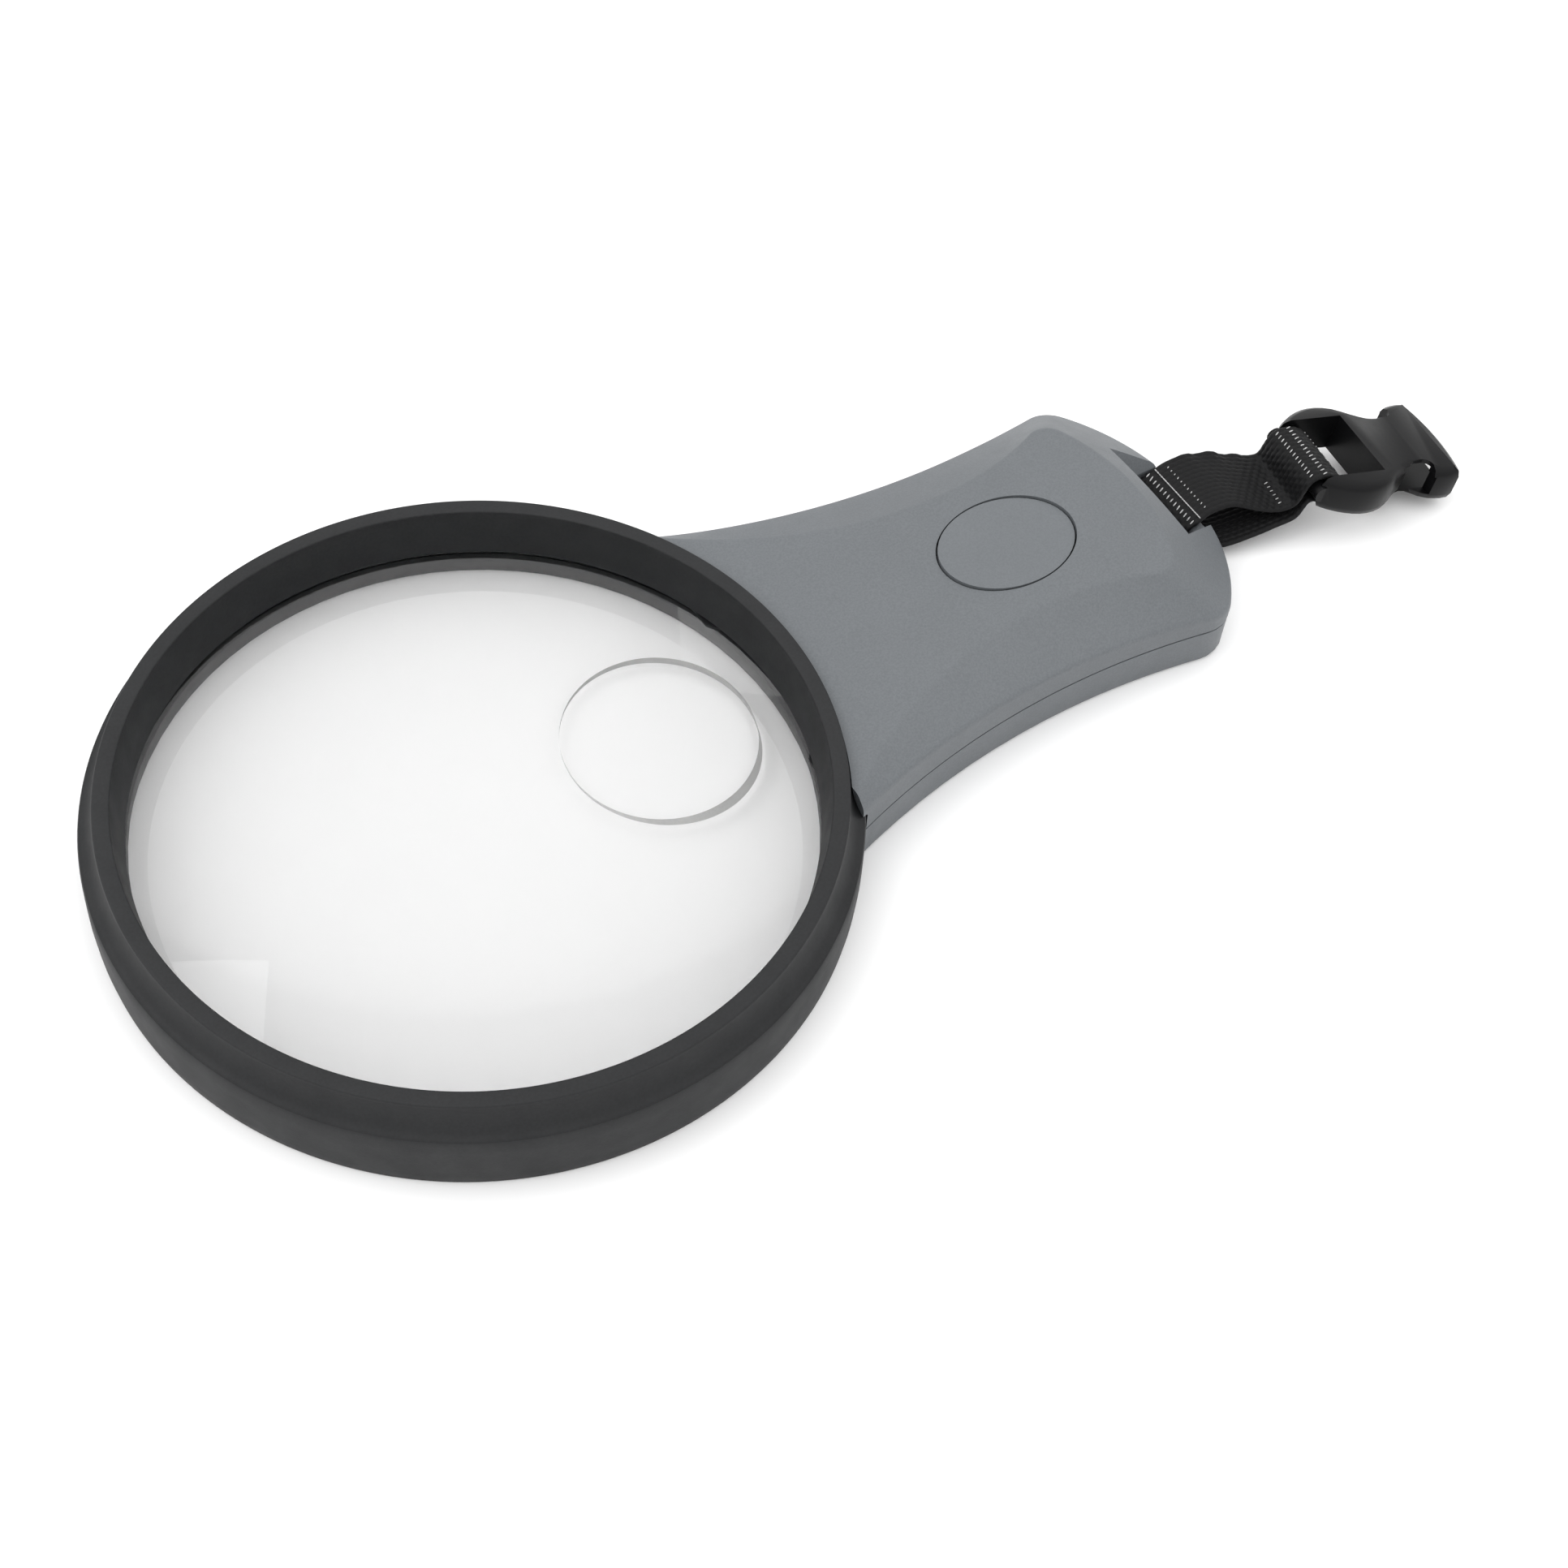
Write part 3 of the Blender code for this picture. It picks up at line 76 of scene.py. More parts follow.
# Strap
BAR = Vector((137.9, 0, 5.25))
BAR_SIZE = (4.4, 4.1)
WEB_HALF = 7.0
WEB_T = 1.1
BUCKLE_BAR = Vector((161.0, -5.1, 10.2))
BUCKLE_BAR_R = 1.5
BUCKLE_TURN = Euler([math.radians(angle) for angle in (-4.5, 11.5, -10.0)]).to_matrix()
UPPER_STRAND = ((141.5, 1.0, 8.6), (146.0, 0.3, 8.9), (150.5, -1.7, 8.0), (154.3, -3.3, 7.1),
                (157.2, -4.3, 7.6))
UPPER_TURN = (0.1, 0.35, 0.65, 0.85, 1.0)
UPPER_LIFT = (0.0, 0.03, 0.12, 0.10, 0.03)
LOWER_STRAND = ((141.0, -1.2, 2.2), (144.0, -2.6, 2.3), (149.0, -3.7, 3.0), (153.5, -4.6, 4.0),
                (157.2, -5.2, 5.0))
LOWER_TURN = (0.2, 0.5, 0.8, 1.0, 1.0)
WEB_RIB = 1.0                  # pitch of the lengthwise ribs
WEB_PICK = 0.75                # pitch of the cross threads
WAVE = (0.32, 5.0)             # height and length of the waves in the far edge


# ---------------------------------------------------------------- materials

class Shader:
    """A material with a Principled shader, built up from procedural nodes."""

    def __init__(self, name, **inputs):
        self.material = bpy.data.materials.new(name)
        self.material.use_nodes = True
        self.nodes = self.material.node_tree.nodes
        self.links = self.material.node_tree.links
        self.principled = self.nodes["Principled BSDF"]
        for key, value in inputs.items():
            self.principled.inputs[key.replace("_", " ")].default_value = value
        self.place = self.nodes.new("ShaderNodeTexCoord").outputs["Object"]

    def link(self, output, target):
        self.links.new(output, target)

    def noise(self, size_mm, detail=2.0, roughness=0.5, stretch=None):
        node = self.nodes.new("ShaderNodeTexNoise")
        node.inputs["Scale"].default_value = 1 / (size_mm * MM)
        node.inputs["Detail"].default_value = detail
        node.inputs["Roughness"].default_value = roughness
        source = self.place
        if stretch:
            mapping = self.nodes.new("ShaderNodeMapping")
            mapping.inputs["Scale"].default_value = stretch
            self.link(source, mapping.inputs["Vector"])
            source = mapping.outputs["Vector"]
        self.link(source, node.inputs["Vector"])
        return node.outputs["Fac"]

    def ramp(self, factor, low, high, low_at=0.3, high_at=0.7):
        """A colour between low and high, as the factor goes from low_at to high_at."""
        node = self.nodes.new("ShaderNodeValToRGB")
        node.color_ramp.elements[0].position = low_at
        node.color_ramp.elements[1].position = high_at
        node.color_ramp.elements[0].color = (*low, 1)
        node.color_ramp.elements[1].color = (*high, 1)
        self.link(factor, node.inputs["Fac"])
        return node.outputs["Color"]

    def span(self, factor, low, high):
        node = self.nodes.new("ShaderNodeMapRange")
        node.inputs["From Min"].default_value = 0.25
        node.inputs["From Max"].default_value = 0.75
        node.inputs["To Min"].default_value = low
        node.inputs["To Max"].default_value = high
        self.link(factor, node.inputs["Value"])
        return node.outputs["Result"]

    def mix(self, factor, first, second):
        node = self.nodes.new("ShaderNodeMix")
        node.data_type = "RGBA"
        self.link(factor, node.inputs["Factor"])
        self.link(first, node.inputs["A"])
        self.link(second, node.inputs["B"])
        return node.outputs["Result"]

    def color(self, output):
        self.link(output, self.principled.inputs["Base Color"])

    def roughness(self, output):
        self.link(output, self.principled.inputs["Roughness"])

    def bump(self, heights):
        """Stacks bumps, each (output, distance in millimetres, strength)."""
        normal = None
        for height, distance, strength in heights:
            node = self.nodes.new("ShaderNodeBump")
            node.inputs["Strength"].default_value = strength
            node.inputs["Distance"].default_value = distance * MM
            self.link(height, node.inputs["Height"])
            if normal:
                self.link(normal, node.inputs["Normal"])
            normal = node.outputs["Normal"]
        self.link(normal, self.principled.inputs["Normal"])


def scaled(color, share):
    return tuple(channel * share for channel in color)


def moulded(name, color, rough, grain=0.35, grain_bump=0.35, tone=0.10, speckle=0.0, **inputs):
    """Moulded plastic with a fine spark-eroded grain, slight clouding and rubbed patches."""
    shader = Shader(name, **inputs)
    cloud = shader.noise(14, detail=3)
    base = shader.ramp(cloud, scaled(color, 1 - tone), scaled(color, 1 + tone))
    fine = shader.noise(grain, detail=2, roughness=0.6)
    if speckle:
        flecks = shader.ramp(fine, scaled(color, 1 - speckle), scaled(color, 1 + speckle), 0.35, 0.65)
        half = shader.nodes.new("ShaderNodeMix")
        half.data_type = "RGBA"
        half.inputs["Factor"].default_value = 0.5
        shader.link(base, half.inputs["A"])
        shader.link(flecks, half.inputs["B"])
        base = half.outputs["Result"]
    shader.color(base)
    shader.roughness(shader.span(shader.noise(5, detail=4), rough - 0.05, rough + 0.05))
    shader.bump([(fine, 0.03, grain_bump), (shader.noise(2.5, detail=2), 0.03, 0.10)])
    return shader.material


def metal(name, color, rough, brushed=(1, 1, 14)):
    shader = Shader(name, Metallic=1.0)
    streaks = shader.noise(1.6, detail=4, stretch=brushed)
    shader.color(shader.ramp(streaks, scaled(color, 0.82), scaled(color, 1.08)))
    shader.roughness(shader.span(shader.noise(0.8, detail=3), rough - 0.08, rough + 0.08))
    shader.bump([(streaks, 0.01, 0.2)])
    return shader.material


def clear(name, tint, rough, ior=1.49):
    """Clear moulded acrylic with faint surface haze."""
    shader = Shader(name, Transmission_Weight=1.0, IOR=ior, Base_Color=(*tint, 1))
    shader.roughness(shader.span(shader.noise(9, detail=3), rough * 0.4, rough * 1.6))
    shader.bump([(shader.noise(30, detail=1), 0.02, 0.02)])
    return shader.material


def frosted_painted_shade(name, color):
    """The spot's moulded step, matte, grey and only partly clear. The grey is painted shade for the
    dark band that the step's wall refracts.
    """
    shader = Shader(name, Transmission_Weight=0.35, IOR=1.49)
    etched = shader.noise(0.4, detail=3)
    shader.color(shader.ramp(etched, scaled(color, 0.9), scaled(color, 1.05)))
    shader.roughness(shader.span(etched, 0.5, 0.7))
    shader.bump([(etched, 0.02, 0.2)])
    return shader.material


def board_material():
    shader = Shader("solder_mask", Coat_Weight=0.4, Coat_Roughness=0.15)
    tracks = shader.noise(2.2, detail=0, stretch=(1, 3, 1))
    shader.color(shader.ramp(tracks, (0.010, 0.10, 0.040), (0.025, 0.20, 0.085), 0.48, 0.52))
    shader.roughness(shader.span(shader.noise(1.5), 0.35, 0.5))
    shader.bump([(tracks, 0.03, 0.4)])
    return shader.material


def cell_material():
    """A battery sleeve: black, with faint stretched scuffs."""
    shader = Shader("cell_sleeve", Metallic=0.35, Coat_Weight=0.5, Coat_Roughness=0.12)
    scuffs = shader.noise(3, detail=5, stretch=(4, 1, 1))
    shader.color(shader.ramp(scuffs, (0.030, 0.030, 0.034), (0.060, 0.058, 0.060), 0.45, 0.75))
    shader.roughness(shader.span(scuffs, 0.25, 0.4))
    shader.bump([(scuffs, 0.01, 0.2)])
    return shader.material


def web_material():
    """Black nylon webbing. The weave itself is in the mesh."""
    shader = Shader("webbing_nylon", Sheen_Weight=0.02, Sheen_Roughness=0.4,
                    Specular_IOR_Level=0.16)
    threads = shader.noise(0.16, detail=3)
    shader.color(shader.ramp(threads, (0.0028, 0.0028, 0.0030), (0.0100, 0.0100, 0.0108), 0.35, 0.8))
    shader.roughness(shader.span(threads, 0.42, 0.62))
    shader.bump([(threads, 0.05, 0.6)])
    return shader.material


def glint_material():
    # Pale grey: a painted highlight for the glints off the webbing's weave at the bends
    shader = Shader("painted_glint_filament", Sheen_Weight=0.3)
    threads = shader.noise(0.3, detail=2)
    shader.color(shader.ramp(threads, (0.20, 0.20, 0.20), (0.62, 0.62, 0.62), 0.3, 0.7))
    shader.roughness(shader.span(threads, 0.3, 0.5))
    shader.bump([(threads, 0.02, 0.3)])
    return shader.material


def floor_material():
    shader = Shader("pale_floor")
    paper = shader.noise(40, detail=2)
    shader.color(shader.ramp(paper, (0.955, 0.955, 0.955), (0.965, 0.965, 0.965)))
    shader.roughness(shader.span(paper, 0.85, 0.95))
    return shader.material


BLACK = (0.0105, 0.011, 0.012)
GREY = (0.114, 0.1235, 0.1325)
BUCKLE_BLACK = (0.004, 0.004, 0.0044)
STEEL = (0.60, 0.60, 0.58)
LOOKS = {
    "rim": moulded("rim_rubber_black", BLACK, 0.60, grain=0.5, grain_bump=0.5, speckle=0.25,
                   Specular_IOR_Level=0.34),
    "ring": moulded("retainer_black", BLACK, 0.5, grain=0.5, speckle=0.2),
    "grey": moulded("handle_grey", GREY, 0.52, grain=0.35, grain_bump=0.45, tone=0.04,
                    speckle=0.16),
    "button": moulded("button_grey", scaled(GREY, 1.03), 0.5, grain=0.3, grain_bump=0.35,
                      tone=0.03, speckle=0.12),
    "buckle": moulded("buckle_acetal", BUCKLE_BLACK, 0.32, grain=0.6, grain_bump=0.25, tone=0.2,
                      Specular_IOR_Level=0.17),
    "ivory": moulded("holder_ivory", (0.74, 0.74, 0.70), 0.5),
    "dark": moulded("switch_dark", (0.03, 0.03, 0.03), 0.4),
    "red": moulded("plunger_red", (0.50, 0.04, 0.03), 0.4),
    "red_wire": moulded("insulation_red", (0.42, 0.02, 0.02), 0.42, grain=0.8),
    "black_wire": moulded("insulation_black", (0.02, 0.02, 0.02), 0.42, grain=0.8),
    "tan": moulded("resistor_lacquer", (0.45, 0.36, 0.22), 0.4),
    "steel": metal("zinc_steel", STEEL, 0.34),
    "nickel": metal("nickel_plate", (0.66, 0.64, 0.60), 0.28),
    "lens": clear("lens_acrylic", (1.0, 1.0, 1.0), 0.0, 1.49),
    # Spot step: grey and half clear, as painted shade for the dark band its wall refracts
    "step": frosted_painted_shade("spot_step_painted_shade", (0.66, 0.66, 0.65)),
    "window": clear("window_acrylic", (0.97, 0.98, 0.98), 0.15),
    "led": clear("led_epoxy", (0.97, 0.98, 1.0), 0.08, 1.52),
    "board": board_material(),
    "cell": cell_material(),
    "web": web_material(),
    "glint": glint_material(),
}


# ---------------------------------------------------------------- mesh helpers

def smooth_by_angle(obj, degrees, weld=True):
    """Smooth shading that stays crisp at edges sharper than the angle, as a modifier."""
    if weld:
        modifier = obj.modifiers.new("weld", "WELD")
        modifier.merge_threshold = 0.002 * MM
    name = f"smooth_under_{degrees}"
    group = bpy.data.node_groups.get(name)
    if not group:
        group = bpy.data.node_groups.new(name, "GeometryNodeTree")
        group.interface.new_socket("Geometry", in_out="INPUT", socket_type="NodeSocketGeometry")
        group.interface.new_socket("Geometry", in_out="OUTPUT", socket_type="NodeSocketGeometry")
        start = group.nodes.new("NodeGroupInput")
        end = group.nodes.new("NodeGroupOutput")
        faces = group.nodes.new("GeometryNodeSetShadeSmooth")
        edges = group.nodes.new("GeometryNodeSetShadeSmooth")
        edges.domain = "EDGE"
        edges.inputs["Shade Smooth"].default_value = False
        angle = group.nodes.new("GeometryNodeInputMeshEdgeAngle")
        sharper = group.nodes.new("FunctionNodeCompare")
        sharper.operation = "GREATER_THAN"
        sharper.inputs["B"].default_value = math.radians(degrees)
        group.links.new(start.outputs[0], faces.inputs["Geometry"])
        group.links.new(faces.outputs["Geometry"], edges.inputs["Geometry"])
        group.links.new(angle.outputs["Unsigned Angle"], sharper.inputs["A"])
        group.links.new(sharper.outputs["Result"], edges.inputs["Selection"])
        group.links.new(edges.outputs["Geometry"], end.inputs[0])
    modifier = obj.modifiers.new("smooth", "NODES")
    modifier.node_group = group


def place(name, bm):
    """An object from a mesh that was made in millimetres from the lens axis."""
    bmesh.ops.recalc_face_normals(bm, faces=bm.faces)
    if bm.calc_volume(signed=True) < 0:
        bmesh.ops.reverse_faces(bm, faces=bm.faces)
    bmesh.ops.scale(bm, vec=(MM, MM, MM), verts=bm.verts)
    bmesh.ops.translate(bm, vec=(AXIS_X, 0, 0), verts=bm.verts)
    mesh = bpy.data.meshes.new(name)
    bm.to_mesh(mesh)
    bm.free()
    obj = bpy.data.objects.new(name, mesh)
    bpy.context.scene.collection.objects.link(obj)
    return obj


def piece(name, bm, material, body, replaces=(), smooth=35):
    """Finishes a piece and rides it on its body."""
    obj = place(name, bm)
    obj.data.materials.append(material)
    smooth_by_angle(obj, smooth, weld=False)
    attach(obj, body)
    if replaces:
        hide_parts(*replaces)
    return obj


def loft(bm, rings, closed_rings=True, closed_stack=False):
    """Faces between successive rings of vertices."""
    stack = list(zip(rings, rings[1:]))
    if closed_stack:
        stack.append((rings[-1], rings[0]))
    for lower, upper in stack:
        count = len(lower)
        for i in range(count if closed_rings else count - 1):
            j = (i + 1) % count
            bm.faces.new((lower[i], lower[j], upper[j], upper[i]))


def revolve(bm, profile, segments, center=(0, 0), closed=True):
    """Turns a closed (radius, height) profile about a vertical axis."""
    rings = []
    for radius, height in profile:
        ring = []
        for i in range(segments):
            angle = 2 * math.pi * i / segments
            ring.append(bm.verts.new((center[0] + radius * math.cos(angle),
                                      center[1] + radius * math.sin(angle), height)))
        rings.append(ring)
    loft(bm, rings, closed_stack=closed)
    return rings


def arc(center, radius, start, end, steps):
    """Points on an arc, angles in degrees, both ends included."""
    points = []
    for i in range(steps + 1):
        angle = math.radians(start + (end - start) * i / steps)
        points.append((center[0] + radius * math.cos(angle), center[1] + radius * math.sin(angle)))
    return points


def smooth_curve(points, steps, closed=False):
    """Catmull-Rom curve through the points."""
    points = [Vector(point) for point in points]
    count = len(points)
    curve = []
    for i in range(count if closed else count - 1):
        if closed:
            p0, p1, p2, p3 = (points[(i + k) % count] for k in (-1, 0, 1, 2))
        else:
            p0, p3 = points[max(i - 1, 0)], points[min(i + 2, count - 1)]
            p1, p2 = points[i], points[i + 1]
        for k in range(steps):
            t = k / steps
            curve.append(0.5 * (2 * p1 + (p2 - p0) * t + (2 * p0 - 5 * p1 + 4 * p2 - p3) * t ** 2
                                + (3 * p1 - 3 * p2 + p3 - p0) * t ** 3))
    if not closed:
        curve.append(points[-1])
    return curve


# ---------------------------------------------------------------- ring frame and lens

def rim_profile():
    """Base, band, crease, cove, top lip, mouth and lens seat, as a closed profile."""
    outer = [(BAND_R - 0.9, 0.0), (BAND_R - 0.55, 0.12), (BAND_R - 0.4, 0.5), (BAND_R - 0.15, 2.5),
             (BAND_R, 6.0), (BAND_R - 0.05, 9.0), (BAND_R - 0.12, BAND_TOP - 0.45)]
    cove_depth = BAND_R - TOP_R - 0.3
    cove_rise = TOP_Z - BAND_TOP - 0.5
    cove = []
    for step in range(19):
        turn = math.radians(90 * step / 18)
        cove.append((TOP_R + cove_depth * (1 - math.sin(turn)),
                     BAND_TOP + cove_rise * (1 - math.cos(turn))))
    lip = arc((TOP_R - 0.32, TOP_Z - 0.32), 0.32, 0, 90, 5)
    mouth = arc((MOUTH_R + 0.3, TOP_Z - 0.3), 0.3, 90, 175, 4)
    seat = [(SEAT_R + 0.08, SEAT_Z + 0.25), (SEAT_R + 0.1, SEAT_Z), (LENS_R + 0.3, SEAT_Z),
            (LENS_R + 0.3, 0.0)]
    return outer + cove + lip + mouth + seat


def add_ear(bm, side):
    """A flat ear with a screw hole, which the handle's shells clamp."""
    hole_x, hole_y, hole_r = EAR_HOLE
    rings = []
    for height, pull in ((EAR_Z[0], 0.2), (EAR_Z[0] + 0.2, 0), (EAR_Z[1] - 0.2, 0),
                         (EAR_Z[1], 0.2)):
        outline = []
        for i in range(48):
            angle = 2 * math.pi * i / 48
            away = Vector((math.cos(angle), math.sin(angle)))
            reach = min(((EAR_X[1] if away.x > 0 else EAR_X[0]) - hole_x) / away.x
                        if abs(away.x) > 1e-6 else 1e9,
                        ((EAR_Y[1] if away.y > 0 else EAR_Y[0]) - hole_y) / away.y
                        if abs(away.y) > 1e-6 else 1e9)
            point = away * (reach - pull)
            outline.append(bm.verts.new((hole_x + point.x, side * (hole_y + point.y), height)))
        rings.append(outline)
    for height in (EAR_Z[1], EAR_Z[0]):
        rings.append([bm.verts.new((hole_x + hole_r * math.cos(2 * math.pi * i / 48),
                                    side * (hole_y + hole_r * math.sin(2 * math.pi * i / 48)),
                                    height)) for i in range(48)])
    loft(bm, rings, closed_stack=True)


def make_rim():
    bm = bmesh.new()
    revolve(bm, rim_profile(), 240)
    for side in (1, -1):
        add_ear(bm, side)
    piece("rim_frame", bm, LOOKS["rim"], "handle", ("rim",), smooth=40)


def sag(curve, radius):
    return curve - math.sqrt(curve ** 2 - radius ** 2)


def lens_top(x, y):
    return LENS_EDGE[1] + sag(LENS_TOP_CURVE, LENS_R) - sag(LENS_TOP_CURVE, math.hypot(x, y))


def lens_bottom(x, y):
    return (LENS_EDGE[0] - sag(LENS_BOTTOM_CURVE, LENS_R)
            + sag(LENS_BOTTOM_CURVE, math.hypot(x, y)))


def make_lens():
    """One clear body on rays from the spot lens's centre: spot, its step, and both faces."""
    bm = bmesh.new()
    rays = 240
    spot_steps = 14
    outer_steps = 26

    def ray_ring(share, height, inside):
        """Points at a share of the way to the spot's edge, or from there to the lens's edge."""
        ring = []
        for i in range(rays):
            angle = 2 * math.pi * i / rays
            away = Vector((math.cos(angle), math.sin(angle)))
            along = SPOT_X * away.x
            reach = -along + math.sqrt(along ** 2 + LENS_R ** 2 - SPOT_X ** 2)
            distance = SPOT_R * share if inside else SPOT_R + (reach - SPOT_R) * share
            x, y = SPOT_X + away.x * distance, away.y * distance
            ring.append(bm.verts.new((x, y, height(x, y))))
        return ring

    def spot_face(x, y):
        return SPOT_LOW + sag(SPOT_CURVE, math.hypot(x - SPOT_X, y))

    rings = [ray_ring((i + 1) / spot_steps, spot_face, True) for i in range(spot_steps)]
    rings += [ray_ring(i / outer_steps, lens_bottom, False) for i in range(outer_steps + 1)]
    rings += [ray_ring(1 - i / outer_steps, lens_top, False) for i in range(outer_steps + 1)]
    rings += [ray_ring(1 - i / spot_steps, lens_top, True) for i in range(1, spot_steps)]
    loft(bm, rings)
    bm.faces.ensure_lookup_table()
    # The step between the spot and the bottom face gets the grey painted-shade material
    for face in bm.faces[(spot_steps - 1) * rays:spot_steps * rays]:
        face.material_index = 1
    for ring, height in ((rings[0], spot_face), (rings[-1], lens_top)):
        middle = bm.verts.new((SPOT_X, 0, height(SPOT_X, 0)))
        for i in range(rays):
            bm.faces.new((middle, ring[i], ring[(i + 1) % rays]))
    lens = piece("lens_with_spot", bm, LOOKS["lens"], "handle", ("main_lens",),
                 smooth=30)
    lens.data.materials.append(LOOKS["step"])


# ---------------------------------------------------------------- handle's upper shell

Outline = namedtuple("Outline", "waist_x waist_y front_r rear_r corner_r end_r end_x")
WALL = Outline(99, 24.4, 147, 147, 6.5, 36.3, 140.3)
PLATEAU = Outline(98, 14.2, 77, 51, 4.0, 38.0, 126.1)
FRONT_X = 50.5
SHELL_BOTTOM = 7.75
SHELL_T = 2.0
NECK_R = 63.0
SLOT_X = 133.4
SLOT_HALF = 7.9
SCOOP_Z = (8.5, 18.0)
SCOOP_LEAN = 0.48
SCOOP_FLARE = 0.6
BUTTON = (100.0, 12.8, 9.6)
FAR = 40.0


def inset(outline, distance):
    return Outline(outline.waist_x, outline.waist_y - distance, outline.front_r + distance,
                   outline.rear_r + distance, outline.corner_r - distance,
                   outline.end_r - distance, outline.end_x - distance)


def circles_cross(center_a, radius_a, center_b, radius_b):
    """The crossing of two circles that lies further along +X."""
    span = (center_b - center_a).length
    along = (radius_a ** 2 - radius_b ** 2 + span ** 2) / (2 * span)
    side = math.sqrt(radius_a ** 2 - along ** 2)
    axis = (center_b - center_a) / span
    across = Vector((-axis.y, axis.x))
    return max((center_a + axis * along + across * side, center_a + axis * along - across * side),
               key=lambda point: point.x)


def half_outline(outline, side_steps=36, corner_steps=16, end_steps=24):
    """The +Y half of the outline, from the front edge round the corner to the end's middle."""
    front_center = Vector((outline.waist_x, outline.waist_y + outline.front_r))
    rear_center = Vector((outline.waist_x, outline.waist_y + outline.rear_r))
    end_center = Vector((outline.end_x - outline.end_r, 0))
    corner = circles_cross(rear_center, outline.rear_r + outline.corner_r,
                           end_center, outline.end_r - outline.corner_r)

    def degrees(vector):
        return math.degrees(math.atan2(vector.y, vector.x))

    start = -90 - math.degrees(math.asin((outline.waist_x - FRONT_X) / outline.front_r))
    end_angle = degrees(corner - end_center)
    points = arc(front_center, outline.front_r, start, -90, side_steps)[:-1]
    points += arc(rear_center, outline.rear_r, -90, degrees(corner - rear_center), side_steps)[:-1]
    points += arc(corner, outline.corner_r, degrees(rear_center - corner), end_angle,
                  corner_steps)[:-1]
    points += arc(end_center, outline.end_r, end_angle, 0, end_steps)
    return [Vector(point) for point in points]


def plateau_height(x):
    """The plateau rises a little from the ring to the end."""
    return 17.33 + 0.039 * (x - 95)


def wall_height(x):
    """The side wall's top edge falls away towards the end."""
    return 12.57 - 0.026 * (x - 95) - 0.00196 * max(x - 105, 0) ** 2


def fillet(before, crease, after, reach):
    """Points that round a crease between two straight lines."""
    start = crease + (before - crease).normalized() * reach
    end = crease + (after - crease).normalized() * reach
    return [start * (1 - t) ** 2 + crease * (2 * t * (1 - t)) + end * t ** 2
            for t in (0, 0.25, 0.5, 0.75, 1)]


def shell_form(bottom, thickness=0.0, reach=0.9):
    """The shell's outer form with softly rounded creases, or its inner form."""
    wall = half_outline(inset(WALL, thickness))
    plateau = half_outline(inset(PLATEAU, thickness * 0.3))
    inner = half_outline(inset(PLATEAU, thickness * 0.3 + 2.0))
    columns = []
    for low, high, top in zip(wall, plateau, inner):
        foot = Vector((low.x, low.y, bottom))
        crease = Vector((low.x, low.y, wall_height(low.x) - 0.9 * thickness))
        edge = Vector((high.x, high.y, plateau_height(high.x) - thickness))
        inside = Vector((top.x, top.y, plateau_height(top.x) - thickness))
        column = [foot] + fillet(foot, crease, edge, reach)
        column += [crease.lerp(edge, 0.5)] + fillet(crease, edge, inside, reach * 0.7) + [inside]
        columns.append(column)
    bm = bmesh.new()
    levels = []
    for k in range(len(columns[0])):
        right = [bm.verts.new(column[k]) for column in columns]
        left = [bm.verts.new((v.co.x, -v.co.y, v.co.z)) for v in right[:-1]] + [right[-1]]
        levels.append((right, left))
    for lower, upper in zip(levels, levels[1:]):
        for side_low, side_high in zip(lower, upper):
            for i in range(len(side_low) - 1):
                bm.faces.new((side_low[i], side_low[i + 1], side_high[i + 1], side_high[i]))
    for right, left in (levels[0], levels[-1]):
        for i in range(len(right) - 2):
            bm.faces.new((right[i], right[i + 1], left[i + 1], left[i]))
        bm.faces.new((right[-2], right[-1], left[-2]))
    bm.faces.new([right[0] for right, left in levels]
                 + [left[0] for right, left in reversed(levels)])
    return bm


def add_box(bm, xs, ys, zs):
    corners = [bm.verts.new((x, y, z)) for z in zs for y in ys for x in xs]
    for face in ((0, 1, 3, 2), (4, 5, 7, 6), (0, 1, 5, 4), (2, 3, 7, 6), (0, 2, 6, 4),
                 (1, 3, 7, 5)):
        bm.faces.new([corners[i] for i in face])


def cylinder(center, radii, zs, segments=48):
    """A closed upright cylinder or elliptical prism."""
    bm = bmesh.new()
    rings = []
    for z in zs:
        rings.append([bm.verts.new((center[0] + radii[0] * math.cos(2 * math.pi * i / segments),
                                    center[1] + radii[1] * math.sin(2 * math.pi * i / segments),
                                    z)) for i in range(segments)])
    loft(bm, rings)
    bm.faces.new(rings[0])
    bm.faces.new(rings[-1])
    return bm


def carve(obj, steps):
    """Applies Booleans one after another: (cutter, operation)."""
    for index, (cutter, operation) in enumerate(steps):
        modifier = obj.modifiers.new(f"boolean_{index}", "BOOLEAN")
        modifier.operation = operation
        modifier.solver = "MANIFOLD"
        modifier.object = cutter
        bpy.context.view_layer.update()
        evaluated = obj.evaluated_get(bpy.context.evaluated_depsgraph_get())
        mesh = bpy.data.meshes.new_from_object(evaluated)
        obj.modifiers.clear()
        obj.data = mesh
        bpy.data.objects.remove(cutter, do_unlink=True)


def rim_clearance():
    """What the shell keeps clear of: the rim's outer side and a small gap."""
    bm = bmesh.new()
    outer = [point for point in rim_profile() if point[0] > TOP_R - 0.01 and point[1] < TOP_Z]
    outer = [(radius + 0.3, height) for radius, height in outer[2:]]
    profile = [(outer[0][0], -1.0)] + outer + [(outer[-1][0], FAR)]
    rings = revolve(bm, profile, 240, closed=False)
    bm.faces.new(rings[0])
    bm.faces.new(rings[-1])
    return bm


